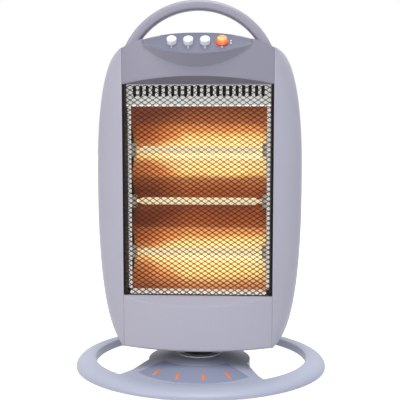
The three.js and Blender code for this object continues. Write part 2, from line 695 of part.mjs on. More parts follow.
const POCKET_CLEAR = 0.25;
function fan(nearR, farR, halfAngle) {
  const s = new THREE.Shape();
  const a0 = rad(-90 - halfAngle);
  const a1 = rad(-90 + halfAngle);
  s.absarc(0, 0, farR, a0, a1, false);
  s.absarc(0, 0, nearR, a1, a0, true);
  return s;
}

// slab that follows the cone's surface, between two depths under it
function coneSlab(top, low) {
  const near = HUB_SHOULDER_R;
  const far = skirtR;
  const lift = (r, d) => coneZ(r) - d;
  return lathe([[near, lift(near, low)], [far, lift(far, low)], [far, lift(far, top)], [near, lift(near, top)],
    [near, lift(near, low)]], 40);
}

const BASE_WALL = 3;
const pocket = coneSlab(-5, INSET_T)
  .intersect(prismZ(fan(INSET_NEAR_R - POCKET_CLEAR, INSET_FAR_R + POCKET_CLEAR,
    INSET_ANGLE + POCKET_CLEAR), 0, over, 24));
const ring = ringSweep();
let base = ring.add(baseForm(0)).subtract(baseForm(BASE_WALL).subtract(ring));
base = base.subtract(pocket).subtract(cylinder(POST_R + GAP, -5, 60, 0, 0, 32));
part('base_moulding', base, LIGHT_GREY, baseGroup);

function markPlan(index, grow) {
  const a = rad(-90 + (index - (MARK_COUNT - 1) / 2) * MARK_STEP);
  const c = new THREE.Vector2(MARK_R * Math.cos(a), MARK_R * Math.sin(a));
  const tilt = a + rad(2 * ((MARK_COUNT - 1) / 2 - index));
  const dir = new THREE.Vector2(Math.cos(tilt), Math.sin(tilt));
  const side = new THREE.Vector2(-dir.y, dir.x);
  const s = new THREE.Shape();
  for (let k = 0; k < 12; k++) {
    const t = 2 * Math.PI * k / 12;
    const u = Math.cos(t) * (MARK_L / 2 + grow);
    const v = Math.sin(t) * (MARK_W / 2 + grow) * (0.75 - 0.25 * Math.cos(t));
    const p = c.clone().addScaledVector(dir, u).addScaledVector(side, v);
    if (k) s.lineTo(p.x, p.y);
    else s.moveTo(p.x, p.y);
  }
  return s;
}

let insetBody = coneSlab(-0.2, INSET_T - GAP)
  .intersect(prismZ(fan(INSET_NEAR_R, INSET_FAR_R, INSET_ANGLE), 0, over, 24));
for (let i = 0; i < MARK_COUNT; i++) insetBody = insetBody.subtract(prismZ(markPlan(i, 0.15), 0, over));
part('marker_inset', insetBody, INSET_GREY, baseGroup);
for (let i = 0; i < MARK_COUNT; i++) {
  part(`flame_mark_${i + 1}`, coneSlab(-0.8, INSET_T - GAP).intersect(prismZ(markPlan(i, 0), 0, over)),
    MARK_ORANGE, baseGroup);
}

[-142, -38, 142, 38].forEach((angle, i) => {
  const [x, y] = ringPoint(rad(angle), 0.5);
  part(`rubber_foot_${i + 1}`, cylinder(FOOT_R - 0.8, 0, FOOT_T, x, y, 16, FOOT_R), RUBBER, baseGroup);
});

const coverR = HUB_R - BASE_WALL - GAP;
part('base_cover', cylinder(coverR, FOOT_T, FOOT_T + 2, 0, 0, 32)
  .subtract(cylinder(PLUNGER_R + GAP, -5, HUB_TOP, 0, PLUNGER_Y, 24))
  .subtract(cylinder(POST_R + GAP, -5, HUB_TOP, 0, 0, 24)), BLACK_PLASTIC, baseGroup);

part('swivel_washer', lathe([[POST_R + GAP, HUB_TOP], [WASHER_R - 1, HUB_TOP], [WASHER_R, HUB_TOP + 1],
  [WASHER_R - 1, washerTop], [POST_R + GAP, washerTop], [POST_R + GAP, HUB_TOP]]), CHROME, baseGroup);

const flange = HUB_TOP - BASE_WALL - GAP;
const flangeLow = flange - POST_FLANGE_T;
const postTop = armLow + ARM_T + 0.7;
part('swivel_post', lathe([[0, flangeLow], [POST_R + POST_FLANGE, flangeLow], [POST_R + POST_FLANGE, flange],
  [POST_R, flange], [POST_R, postTop], [0, postTop]], 32), ZINC_STEEL, baseGroup);

part('swivel_nut', cylinder(NUT_R, floorTop + GAP, floorTop + GAP + NUT_H, 0, 0, 6)
  .subtract(cylinder(POST_R + GAP, 0, SKY, 0, 0, 32)), ZINC_STEEL, baseGroup);

// slotted arm, fixed on the post, that the crank pin pushes against
const slotHalf = PIN_R + PIN_CLEAR;
const pinNear = CRANK_OFFSET - CRANK_THROW * 0.2;
const pinFar = CRANK_OFFSET + CRANK_THROW;
const armShape = new THREE.Shape();
armShape.absarc(0, 0, BOSS_R, rad(-60), rad(240), false);
armShape.lineTo(-ARM_HALF, -pinFar);
armShape.absarc(0, -pinFar, ARM_HALF, Math.PI, 2 * Math.PI, false);
const slot = new THREE.Path();
slot.absarc(0, -pinNear, slotHalf, 0, Math.PI, false);
slot.absarc(0, -pinFar, slotHalf, Math.PI, 2 * Math.PI, false);
armShape.holes.push(slot);
part('drive_arm', prismZ(armShape, armLow, armLow + ARM_T, 10)
  .subtract(cylinder(POST_R + GAP, 0, SKY, 0, 0, 24)), ZINC_STEEL, baseGroup);

// ---------------------------------------------------------------- swing motor and crank
const crankRest = CRANK_RATIO * REST_SWING;
const shaftLow = crankLow + CRANK_T + GAP;
const pinAngle = rad(-90 + crankRest);
const pinX = CRANK_THROW * Math.cos(pinAngle);
const pinY = -CRANK_OFFSET + CRANK_THROW * Math.sin(pinAngle);
part('crank', cylinder(CRANK_R, crankLow, crankLow + CRANK_T, 0, -CRANK_OFFSET, 32)
  .add(cylinder(PIN_R, armLow - GAP, crankLow + 1, pinX, pinY, 12)), ZINC_STEEL);
let motor = cylinder(MOTOR_R, shaftLow, shaftLow + MOTOR_H, 0, -CRANK_OFFSET, 32);
motor = motor.add(box(-MOTOR_EAR - 4, MOTOR_EAR + 4, -CRANK_OFFSET - 5, -CRANK_OFFSET + 5,
  shaftLow + GAP, shaftLow + 2));
part('swing_motor', motor, ZINC_STEEL);

// ---------------------------------------------------------------- tip-over switch and terminals
part('tip_plunger', lathe([[0, 0], [PLUNGER_R - 1, 0], [PLUNGER_R, 1], [PLUNGER_R, PLUNGER_H],
  [0, PLUNGER_H]], 24).translate([0, PLUNGER_Y, 0]), WHITE_BUTTON, baseGroup);
part('tip_switch', box(-10, 10, PLUNGER_Y - 5, PLUNGER_Y + 5, PLUNGER_H + GAP, HUB_TOP - BASE_WALL - GAP - 2),
  BLACK_PLASTIC, baseGroup);
part('terminal_block', box(GLAND.x + 8, GLAND.x + 38, 14, 26, floorTop, floorTop + 14), WHITE_BUTTON);

export default root;
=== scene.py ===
"""Halogen heater with an oscillating head: the finishes and the fine shapes.

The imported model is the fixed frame. Every piece made here sits in that frame, in metres,
with +Z up and the front facing -Y, and rides on the body that carries it.
"""

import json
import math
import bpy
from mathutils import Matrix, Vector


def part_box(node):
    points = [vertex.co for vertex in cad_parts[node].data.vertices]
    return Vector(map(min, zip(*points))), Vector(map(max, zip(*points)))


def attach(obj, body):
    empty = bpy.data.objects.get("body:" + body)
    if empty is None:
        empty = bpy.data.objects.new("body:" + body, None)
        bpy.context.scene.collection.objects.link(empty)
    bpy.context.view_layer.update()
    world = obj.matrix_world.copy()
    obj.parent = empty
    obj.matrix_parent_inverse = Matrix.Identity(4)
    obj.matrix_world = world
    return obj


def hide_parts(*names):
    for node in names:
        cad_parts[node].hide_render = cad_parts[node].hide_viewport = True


bl_info = {
    "name": "Halogen Heater",
    "version": (1, 0, 0),
    "blender": (4, 5, 0),
    "location": "View3D > Sidebar > Heater",
    "description": "Builds the visible pieces of a halogen heater round its packed frame",
    "category": "Object",
}

import bmesh
import bpy
from bpy.props import FloatProperty, FloatVectorProperty, IntProperty, PointerProperty, StringProperty
from mathutils import Matrix, Vector

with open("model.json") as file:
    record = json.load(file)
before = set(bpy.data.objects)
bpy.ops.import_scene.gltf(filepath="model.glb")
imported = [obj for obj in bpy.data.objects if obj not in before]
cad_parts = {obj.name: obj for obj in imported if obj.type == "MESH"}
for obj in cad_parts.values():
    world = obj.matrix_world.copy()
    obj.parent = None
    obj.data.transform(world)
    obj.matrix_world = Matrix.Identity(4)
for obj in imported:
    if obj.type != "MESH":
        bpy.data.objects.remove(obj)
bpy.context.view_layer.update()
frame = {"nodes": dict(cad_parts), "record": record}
NODES = frame["nodes"]
MM = 0.001

# ------------------------------------------------------------------ places read from the frame
def joint_place(name):
    """Where the record puts a joint."""
    joints = frame["record"]["behaviour"]["joints"]
    return Vector(next(j["pos_m"] for j in joints if j["name"] == name))


# shapes are set out round the swivel, and piece() moves them to its place in the frame
SWIVEL = joint_place("head_swing").to_2d().to_3d()


def box(node):
    """A node's corners, measured from the swivel."""
    low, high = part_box(node)
    return low - SWIVEL, high - SWIVEL


GAP = 0.3 * MM
HALF = box("top_panel")[1].x                  # half width of the centre panels
SEAM = HALF + GAP / 2
EDGE_X = box("right_side_housing")[1].x
FACE_Y = box("right_side_housing")[0].y       # plane of the seams and the grille
REAR_Y = box("rear_cover")[1].y
PANEL_REAR = box("top_panel")[1].y
BULGE = FACE_Y - box("lower_panel")[0].y      # how far the centre panels bow out
LIP_Y = box("top_panel")[0].y
BODY_LOW = box("lower_panel")[0].z
WINDOW_LOW = box("lower_panel")[1].z
WINDOW_TOP = box("top_panel")[0].z
CROWN_Z = box("top_panel")[1].z
HUB_TOP = box("base_moulding")[1].z
FOOT_T = box("rubber_foot_1")[1].z
LEDGE_FALL = 0.42                             # slope of the ledges over and under the window


def srgb(value):
    """An sRGB hex colour as linear RGB."""
    channels = [int(value[i:i + 2], 16) / 255 for i in (1, 3, 5)]
    return [c / 12.92 if c <= 0.04045 else ((c + 0.055) / 1.055) ** 2.4 for c in channels]


# ------------------------------------------------------------------ user settings
def length(name, description, default_mm):
    return FloatProperty(name=name, description=description, default=default_mm * MM, unit="LENGTH")


def angle_of(name, description, degrees):
    return FloatProperty(name=name, description=description, default=math.radians(degrees), subtype="ANGLE")


def hex_property(name, default):
    return StringProperty(name=name, description="Colour as an sRGB hex value", default=default)


class HeaterSizes(bpy.types.PropertyGroup):
    """Sizes of the fine shapes."""

    wall: length("Wall", "Thickness of the moulded shells", 2.5)
    waist_z: length("Waist", "Height of the widest point of the head", 265)
    outline_top: length("Outline top", "Where the side outline closes above", 447.6)
    outline_low: length("Outline low", "Where the side outline closes below", 46.5)
    outline_power: FloatProperty(name="Roundness", description="Power of the side outline's curve",
                                 default=2.4)
    crown_drop: length("Crown drop", "Fall of the head's top to a seam", 19)
    crown_power: FloatProperty(name="Crown power", description="Power of the top's curve", default=2.4)
    visor_half: length("Visor half", "Half length of the control visor", 72)
    visor_back: length("Visor back", "Rear edge of the button slope", -48)
    lip_z: length("Lip height", "Height of the visor's lip at the middle", 437.5)
    lip_rise: length("Lip rise", "How far the lip climbs to its ends", 14)
    chin_z: length("Chin height", "Where the visor meets the panel below", 421)
    chin_rise: length("Chin rise", "How far the chin climbs to its ends", 28)
    mesh_pitch_x: length("Mesh width", "Width of one gap of the grille", 9.9)
    mesh_pitch_z: length("Mesh height", "Height of one gap of the grille", 6.5)
    strand: length("Strand", "Width of a strand of the grille", 1.05)
    vent_slots: IntProperty(name="Vent slots", description="Slots over the reflector", default=21)
    vent_pitch: length("Vent pitch", "Distance between the slots", 8.6)
    button_r: length("Button radius", "Radius of a push button", 6.5)
    handle_half: length("Handle half", "Half width of the handle's centre line", 100)
    handle_rise: length("Handle rise", "Height of the handle's ellipse", 98)
    handle_thick: length("Handle thickness", "Seen from the front", 14)
    ring_a: length("Ring half width", "Outer edge of the base ring", 179)
    ring_b: length("Ring half depth", "Outer edge of the base ring", 162)
    ring_back: length("Ring set back", "Ring's centre behind the swivel", 34)
    hole_a: length("Opening half width", "Opening of the base ring", 152)
    hole_b: length("Opening half depth", "Opening of the base ring", 137)
    hole_back: length("Opening set back", "Opening's centre behind the swivel", 41)
    hub_r: length("Hub radius", "Round hub under the head", 71)
    inset_near: length("Inset near", "Inner radius of the fan-shaped inset", 55)
    inset_far: length("Inset far", "Outer radius of the fan-shaped inset", 95)
    inset_angle: angle_of("Inset angle", "Half angle of the inset", 52)
    mark_r: length("Mark radius", "Swivel to the middle of a flame mark", 82)
    mark_step: angle_of("Mark step", "Angle between the flame marks", 24)


class HeaterColours(bpy.types.PropertyGroup):
    """Colours, as sRGB hex values."""

    housing: hex_property("Side housings and lower panel", "#b3b0bd")
    panel: hex_property("Top panel", "#8e8b9a")
    field: hex_property("Control field", "#67687a")
    handle: hex_property("Handle", "#9a97a4")
    base: hex_property("Base", "#b2b5c6")
    inset: hex_property("Fan-shaped inset", "#9296ad")
    mark: hex_property("Flame marks", "#f08a55")
    orange: hex_property("Swing button", "#ff9a3c")
    collar: hex_property("Swing button collar", "#e0481c")
    # painted glow and painted shade colours of the reflector's bands
    glow: hex_property("Glow of the reflector", "#ffd488")
    ember: hex_property("Dark bands of the reflector", "#a8431c")


def sizes():
    return bpy.context.scene.heater_sizes


def colour(name):
    return srgb(getattr(bpy.context.scene.heater_colours, name))


# ------------------------------------------------------------------ material nodes
def fill(node, inputs):
    """Gives a node's inputs their values, or links them to another node's outputs."""
    for key, value in inputs.items():
        if isinstance(value, bpy.types.NodeSocket):
            node.id_data.links.new(value, node.inputs[key])
        else:
            node.inputs[key].default_value = value
    return node


def add(tree, kind, inputs=None, **settings):
    """One shader node with its settings; an input is a value or another node's output."""
    node = tree.nodes.new(kind)
    for key, value in settings.items():
        setattr(node, key, value)
    return fill(node, inputs or {})


def compute(tree, operation, a, b):
    return add(tree, "ShaderNodeMath", {0: a, 1: b}, operation=operation).outputs[0]


def noise(tree, where, scale, detail, **inputs):
    """Noise texture of a given scale and detail."""
    return add(tree, "ShaderNodeTexNoise", {"Vector": where, "Scale": scale, "Detail": detail, **inputs})


def spread(tree, value, low, high, **inputs):
    """Spreads a value from its own range to a new one."""
    ends = {"To Min": low, "To Max": high}
    return add(tree, "ShaderNodeMapRange", {"Value": value, **ends, **inputs}).outputs["Result"]


def bump(tree, height, strength, depth_mm):
    inputs = {"Height": height, "Strength": strength, "Distance": depth_mm * MM}
    return add(tree, "ShaderNodeBump", inputs).outputs["Normal"]


def mix(tree, factor, a, b, blend="MIX"):
    return add(tree, "ShaderNodeMix", {0: factor, 6: a, 7: b}, data_type="RGBA", blend_type=blend).outputs[2]


def object_place(tree):
    return add(tree, "ShaderNodeTexCoord").outputs["Object"]


def rgba(rgb, scale=1.0):
    return [min(1.0, c * scale) for c in rgb] + [1.0]


def made_once(build):
    """Each finish is built on its own shader the first time that its name is asked for."""
    def finish(name, *values, **options):
        material = bpy.data.materials.get(name)
        if material is None:
            material = bpy.data.materials.new(name)
            material.use_nodes = True
            tree = material.node_tree
            tree.nodes.clear()
            shader = add(tree, "ShaderNodeBsdfPrincipled")
            add(tree, "ShaderNodeOutputMaterial", {"Surface": shader.outputs["BSDF"]})
            build(tree, shader, *values, **options)
        return material
    return finish


@made_once
def moulded_abs(tree, shader, rgb, roughness=0.42, grain_mm=0.9, spec=0.5):
    """Injection-moulded ABS: an even colour with a fine spark-eroded grain and a soft sheen."""
    where = object_place(tree)
    cloud = noise(tree, where, 14.0, 3.0)
    fleck = noise(tree, where, 1 / (grain_mm * MM), 2.0)
    tint = mix(tree, cloud.outputs["Fac"], rgba(rgb, 0.965), rgba(rgb, 1.03))
    grain = fleck.outputs["Fac"]
    fill(shader, {"Base Color": mix(tree, 0.10, tint, fleck.outputs["Color"], "SOFT_LIGHT"),
                  "Roughness": spread(tree, grain, roughness - 0.05, roughness + 0.07),
                  "Normal": bump(tree, grain, 0.12, 0.05), "IOR": 1.53, "Specular IOR Level": spec})


@made_once
def sheet_metal(tree, shader, rgb, roughness, metallic=1.0):
    """Rolled sheet: fine parallel marks from the rolls and a slightly uneven gloss."""
    stretch = add(tree, "ShaderNodeMapping", {"Vector": object_place(tree), "Scale": (1, 1, 12)})
    lines = noise(tree, stretch.outputs["Vector"], 160.0, 2.0).outputs["Fac"]
    fill(shader, {"Base Color": mix(tree, lines, rgba(rgb, 0.92), rgba(rgb, 1.04)),
                  "Roughness": spread(tree, lines, roughness * 0.8, roughness * 1.25), "Metallic": metallic})


@made_once
def soft_rubber(tree, shader, rgb):
    """Moulded rubber: near black, matt, with a fine pebble."""
    cells = add(tree, "ShaderNodeTexVoronoi", {"Vector": object_place(tree), "Scale": 900.0})
    pebble = cells.outputs["Distance"]
    fill(shader, {"Base Color": mix(tree, pebble, rgba(rgb, 0.8), rgba(rgb, 1.3)),
                  "Normal": bump(tree, pebble, 0.2, 0.1), "Roughness": 0.8})


@made_once
def gloss_button(tree, shader, rgb, glow=0.0):
    """Polished polycarbonate: a bright, clear cap with a wet highlight; a glow above nought adds emission, a
    painted glow.
    """
    cloud = noise(tree, object_place(tree), 220.0, 2.0)
    tone = mix(tree, cloud.outputs["Fac"], rgba(rgb, 0.95), rgba(rgb, 1.05))
    fill(shader, {"Base Color": tone, "Roughness": 0.2, "IOR": 1.58, "Coat Weight": 0.6,
                  "Coat Roughness": 0.08})
    # painted glow: emission on a part that is no lamp
    if glow:
        fill(shader, {"Emission Color": tone, "Emission Strength": glow})


@made_once
def lit_reflector(tree, shader):
    """Polished aluminium trough with the light of its tube painted in: painted glow, gold near each tube, and
    painted shade, a darker orange, between the tubes.
    """
    where = object_place(tree)
    place = add(tree, "ShaderNodeSeparateXYZ", {"Vector": where})
    # distance to the nearest tube, 0 on it and 1 half way to the next
    steps = compute(tree, "SUBTRACT", place.outputs["Z"], tube_z(1))
    steps = compute(tree, "DIVIDE", steps, (tube_z(3) - tube_z(1)) / 2)
    wobble = noise(tree, where, 26.0, 4.0, Roughness=0.6)
    steps = compute(tree, "ADD", steps, compute(tree, "MULTIPLY", wobble.outputs["Fac"], 0.22))
    wave = compute(tree, "PINGPONG", steps, 1.0)
    # the left third of the troughs is painted darker, a painted reflection of the dark end of the window
    side = spread(tree, place.outputs["X"], 0.3, 0.0, **{"From Min": -0.075, "From Max": -0.02})
    ramp = add(tree, "ShaderNodeValToRGB", {"Fac": compute(tree, "ADD", wave, side)})
    # the ramp runs from painted glow on a tube to painted shade half way to the next
    stops = ((0.0, "#fff0c4"), (0.3, "#fbd896"), (0.46, "#cf8c54"), (0.7, "#a85f34"), (1.0, "#783a20"))
    band = ramp.color_ramp
    while len(band.elements) < len(stops):
        band.elements.new(0.5)
    for element, (at, value) in zip(band.elements, stops):
        element.position = at
        element.color = rgba(srgb(value))
    glow = ramp.outputs["Color"]
    # painted glow: the ramp's colour is also the emission, so the troughs glow though they are no lamp
    fill(shader, {"Base Color": glow, "Emission Color": glow, "Emission Strength": 0.6, "Metallic": 0.6,
                  "Roughness": 0.3})


@made_once
def glowing_quartz(tree, shader, strength):
    """Quartz tube with its filament lit: pale yellow, a little deeper at the rim."""
    coil = add(tree, "ShaderNodeTexWave", {"Vector": object_place(tree), "Scale": 120.0}, bands_direction="X")
    rim = add(tree, "ShaderNodeLayerWeight", {"Blend": 0.3})
    body = mix(tree, rim.outputs["Facing"], rgba(srgb("#ffe6b0")), rgba(srgb("#f0b468")))
    tone = mix(tree, coil.outputs["Fac"], body, rgba(srgb("#fff2cc")))
    fill(shader, {"Base Color": tone, "Emission Color": tone, "Emission Strength": strength,
                  "Roughness": 0.08, "IOR": 1.46})


def fired_ceramic(name):
    """Unglazed steatite: off-white with a dry, slightly speckled face."""
    return moulded_abs(name, srgb("#e9e2d3"), roughness=0.62, grain_mm=0.6, spec=0.35)


def housing_abs():
    return moulded_abs("moulded_abs_light_grey", colour("housing"))


def panel_abs():
    return moulded_abs("moulded_abs_panel_grey", colour("panel"), roughness=0.4)


def base_abs():
    return moulded_abs("moulded_abs_base_grey", colour("base"), roughness=0.45)


def black_nylon():
    return moulded_abs("moulded_nylon_black", srgb("#1d1d20"), roughness=0.55, grain_mm=0.7)


def bright_plate():
    """Bright sheet round the reflector with painted glow: its emission stands in for the light of the tubes,
    so it reads white.
    """
    m = sheet_metal("bright_plated_steel", srgb("#f6f6f4"), 0.4, metallic=0.1)
    shader = next(n for n in m.node_tree.nodes if n.type == "BSDF_PRINCIPLED")
    # painted glow: emission on the sheet stands in for the tubes' light falling on it
    fill(shader, {"Emission Color": rgba(srgb("#fbfaf4")), "Emission Strength": 0.45})
    return m


def zinc_sheet():
    return sheet_metal("zinc_plated_steel", srgb("#b6b8bd"), 0.38)


# ------------------------------------------------------------------ mesh tools
def move(bm, step):
    bmesh.ops.translate(bm, verts=bm.verts, vec=step)


def lay(bm, matrix):
    bmesh.ops.transform(bm, matrix=matrix, verts=bm.verts)


def turn(bm, degrees, axis):
    matrix = Matrix.Rotation(math.radians(degrees), 3, axis)
    bmesh.ops.rotate(bm, verts=bm.verts, cent=(0, 0, 0), matrix=matrix)


def grid(across, along, place):
    """A plane of cells whose points are laid on a surface by a formula of two shares, 0 to 1."""
    bm = bmesh.new()
    bmesh.ops.create_grid(bm, x_segments=across, y_segments=along, size=0.5)
    for v in bm.verts:
        v.co = place(v.co.x + 0.5, v.co.y + 0.5)
    bmesh.ops.remove_doubles(bm, verts=bm.verts, dist=1e-6)
    bmesh.ops.recalc_face_normals(bm, faces=bm.faces)
    return bm


def face_away(bm, inside):
    """Turns an open surface so that its faces look away from a point behind it."""
    total = sum((f.normal.dot(f.calc_center_median() - inside) * f.calc_area() for f in bm.faces))
    if total < 0:
        bmesh.ops.reverse_faces(bm, faces=bm.faces)


def close_holes(bm):
    edges = [e for e in bm.edges if e.is_boundary]
    bmesh.ops.holes_fill(bm, edges=edges, sides=0)
    bmesh.ops.recalc_face_normals(bm, faces=bm.faces)


def piece(name, bm, material, body, replaces=(), wall=0.0, bevel=0.0, angle=32, segments=3,
          cutters=()):
    """Makes the object of a bmesh, finishes it and hangs it on its body."""
    cutters = [hidden(c, SWIVEL) for c in cutters]
    obj = hidden(bm, SWIVEL)
    obj.name = obj.data.name = name
    obj.data.materials.append(material)
    if wall:
        m = obj.modifiers.new("wall", "SOLIDIFY")
        m.thickness = wall
        m.offset = -1.0
        m.use_even_offset = True
    for cutter in cutters:
        m = obj.modifiers.new("cut", "BOOLEAN")
        m.operation = "DIFFERENCE"
        m.solver = "EXACT"
        m.object = cutter
    if bevel:
        m = obj.modifiers.new("edges", "BEVEL")
        m.width = bevel
        m.segments = segments
        m.limit_method = "ANGLE"
        m.angle_limit = math.radians(angle)
        m.harden_normals = False
    settle(obj)
    for cutter in cutters:
        bpy.data.objects.remove(cutter)
    obj.data.shade_smooth()
    obj.data.set_sharp_from_angle(angle=math.radians(35))
    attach(obj, body)
    if replaces:
        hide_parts(*replaces)
    return obj


def settle(obj):
    """Applies the modifiers, so that the mesh is the finished shape."""
    if not obj.modifiers:
        return
    depsgraph = bpy.context.evaluated_depsgraph_get()
    done = bpy.data.meshes.new_from_object(obj.evaluated_get(depsgraph))
    obj.modifiers.clear()
    old = obj.data
    obj.data = done
    done.name = obj.name
    bpy.data.meshes.remove(old)


def hidden(bm, shift=(0, 0, 0)):
    """Puts a bmesh in an object of its own, moved by a shift."""
    move(bm, shift)
    mesh = bpy.data.meshes.new("shape")
    bm.to_mesh(mesh)
    bm.free()
    obj = bpy.data.objects.new("shape", mesh)
    bpy.context.scene.collection.objects.link(obj)
    return obj


def spin_profile(profile, steps=96, centre=(0, 0)):
    """A closed turned shape: the profile's (radius, height) points spun about +Z."""
    bm = bmesh.new()
    verts = [bm.verts.new((r, 0, z)) for r, z in profile]
    edges = [bm.edges.new(pair) for pair in zip(verts, verts[1:])]
    if (Vector(profile[0]) - Vector(profile[-1])).length > 1e-7 and profile[0][0] > 0:
        edges.append(bm.edges.new((verts[-1], verts[0])))
    bmesh.ops.spin(bm, geom=verts + edges, cent=(0, 0, 0), axis=(0, 0, 1), angle=2 * math.pi, steps=steps,
                   use_merge=True)
    bmesh.ops.remove_doubles(bm, verts=bm.verts, dist=1e-6)
    bmesh.ops.recalc_face_normals(bm, faces=bm.faces)
    move(bm, (*centre, 0))
    return bm


def prism(points, low, high):
    """An outline in the XY plane raised from low to high."""
    bm = bmesh.new()
    bm.faces.new([bm.verts.new((x, y, low)) for x, y in points])
    extrude(bm, (0, 0, high - low))
    return bm


def block(low, high, bevel=0.0, segments=2):
    """A box between two corners, with its edges rounded."""
    bm = bmesh.new()
    bmesh.ops.create_cube(bm, size=1.0)
    low, high = Vector(low), Vector(high)
    bmesh.ops.scale(bm, vec=high - low, verts=bm.verts)
    bmesh.ops.translate(bm, vec=(low + high) / 2, verts=bm.verts)
    if bevel:
        bmesh.ops.bevel(bm, geom=list(bm.edges), offset=bevel, segments=segments, affect="EDGES",
                        profile=0.5, material=-1)
    return bm


def boolean(bm_a, bm_b, operation):
    """Joins or cuts two closed bmeshes and gives back a new one."""
    a, b = hidden(bm_a), hidden(bm_b)
    m = a.modifiers.new("boolean", "BOOLEAN")
    m.operation = operation
    m.solver = "EXACT"
    m.object = b
    settle(a)
    result = bmesh.new()
    result.from_mesh(a.data)
    bpy.data.objects.remove(a)
    bpy.data.objects.remove(b)
    return result


def extrude(bm, step):
    """Thickens every face of a sheet by a step, and closes it."""
    raised = bmesh.ops.extrude_face_region(bm, geom=bm.faces[:])["geom"]
    verts = [g for g in raised if isinstance(g, bmesh.types.BMVert)]
    bmesh.ops.translate(bm, verts=verts, vec=step)
    bmesh.ops.recalc_face_normals(bm, faces=bm.faces)


def pierced(across, along, place, outlines):
    """A grid laid on a surface, with holes whose outlines are given in its two shares."""
    bm = grid(across, along, lambda u, v: Vector((u, v, 0)))
    extrude(bm, (0, 0, 0.1))
    for outline in outlines:
        bm = boolean(bm, prism(outline, -0.1, 0.2), "DIFFERENCE")
    rest = [f for f in bm.faces if f.calc_center_median().z < 0.099]
    bmesh.ops.delete(bm, geom=rest, context="FACES")
    for v in bm.verts:
        v.co = place(v.co.x, v.co.y)
    bmesh.ops.remove_doubles(bm, verts=bm.verts, dist=2e-5)
    bmesh.ops.recalc_face_normals(bm, faces=bm.faces)
    return bm


def merge(target, source):
    """Adds one bmesh to another."""
    mesh = bpy.data.meshes.new("part")
    source.to_mesh(mesh)
    source.free()
    target.from_mesh(mesh)
    bpy.data.meshes.remove(mesh)


def slot_cutter(centre, half_wide, half_high, half_deep, steps=8):
    """A slot with round ends that cuts along Y."""
    points = []
    for end in (1, -1):
        for i in range(steps + 1):
            a = math.pi * i / steps + (0 if end > 0 else math.pi)
            points.append((centre[0] + half_wide * math.cos(a),
                           centre[2] + end * (half_high - half_wide) + half_wide * math.sin(a)))
    bm = prism(points, -half_deep, half_deep)
    turn(bm, 90, "X")
    move(bm, (0, centre[1], 0))
    return bm


# ------------------------------------------------------------------ shape of the head
BOW_R = (SEAM ** 2 + BULGE ** 2) / (2 * BULGE)


def bow_y(x):
    """Front surface of the centre panels."""
    return FACE_Y - (math.sqrt(BOW_R ** 2 - x ** 2) - (BOW_R - BULGE))


def crown_z(x):
    return CROWN_Z - sizes().crown_drop * abs(x / SEAM) ** sizes().crown_power


def side_at(z):
    """How far a side housing stands out beyond its seam."""
    s = sizes()
    span = s.outline_top - s.waist_z if z > s.waist_z else s.waist_z - s.outline_low
    t = min(1.0, abs(z - s.waist_z) / span)
    return (EDGE_X - SEAM) * (1 - t ** s.outline_power) ** (1 / s.outline_power)


def bezier(points, t):
    a, b, c, d = (Vector(p) for p in points)
    return a * (1 - t) ** 3 + b * 3 * t * (1 - t) ** 2 + c * 3 * t * t * (1 - t) + d * t ** 3


def housing_point(side, u, v):
    """Side housing: u runs from the front seam round to the rear one, v from the bottom up."""
    s = sizes()
    angle = math.pi * (v - 0.5)
    reach = s.outline_top - s.waist_z if angle > 0 else s.waist_z - s.outline_low
    z = s.waist_z + reach * math.sin(angle)
    out = side_at(z)
    slope = SEAM / (BOW_R - BULGE)
    k = out * 0.55
    if u < 0.5:
        front = (SEAM, FACE_Y), (SEAM + k, FACE_Y + slope * k), (SEAM + out, FACE_Y / 2), (SEAM + out, 0)
        p = bezier(front, u * 2)
    else:
        p = bezier(((SEAM + out, 0), (SEAM + out, REAR_Y / 2), (SEAM + k, REAR_Y), (SEAM, REAR_Y)), u * 2 - 1)
    return Vector((side * (p.x + GAP / 2), p.y, z))


class HEATER_OT_housings(bpy.types.Operator):
    """Model the two side housings as smooth closed shells"""

    bl_idname = "heater.housings"
    bl_label = "Side housings"

    def execute(self, context):
        for node, side in (("left_side_housing", -1), ("right_side_housing", 1)):
            bm = grid(40, 72, lambda u, v: housing_point(side, u, v))
            close_holes(bm)
            piece(f"{node}_shell", bm, housing_abs(), "head", (node,),
                  bevel=1.3 * MM, angle=40)
        return {"FINISHED"}


def top_profile(x):
    """Key points (y, z) of the top panel's section at x, from the window over the visor to the rear."""
    s = sizes()
    face = bow_y(x)
    share = min(1.0, abs(x) / s.visor_half)
    ends = min(1.0, max(0.0, (s.visor_half - abs(x)) / (1.4 * MM)))
    reach = (bow_y(0) - LIP_Y) * (1 - share ** 2)
    ledge = (face, WINDOW_TOP + LEDGE_FALL * (FACE_Y - face))
    crown = crown_z(x)
    chin = (face, min(s.chin_z + s.chin_rise * share ** 2, crown - 2.5 * MM))
    lip_z = s.lip_z + s.lip_rise * share ** 2
    lip = (face - reach, lip_z + (crown - lip_z) * (1 - ends))
    back = (face + 1 * MM + (s.visor_back - face - 1 * MM) * ends, crown)
    return [(FACE_Y + 3 * MM, WINDOW_TOP), (FACE_Y, WINDOW_TOP), ledge, chin, lip, back,
            (PANEL_REAR, crown)]


def along(profile, counts, share):
    """Point of a polyline at a share of its rows, with a set number of rows to each stretch."""
    rows = share * sum(counts)
    for (a, b), n in zip(zip(profile, profile[1:]), counts):
        if rows <= n:
            t = rows / n
            return a[0] + (b[0] - a[0]) * t, a[1] + (b[1] - a[1]) * t
        rows -= n
    return profile[-1]


TOP_ROWS = (2, 5, 9, 8, 11, 10)


def top_point(u, v):
    x = HALF * (2 * u - 1)
    y, z = along(top_profile(x), TOP_ROWS, v)
    return Vector((x, y, z))


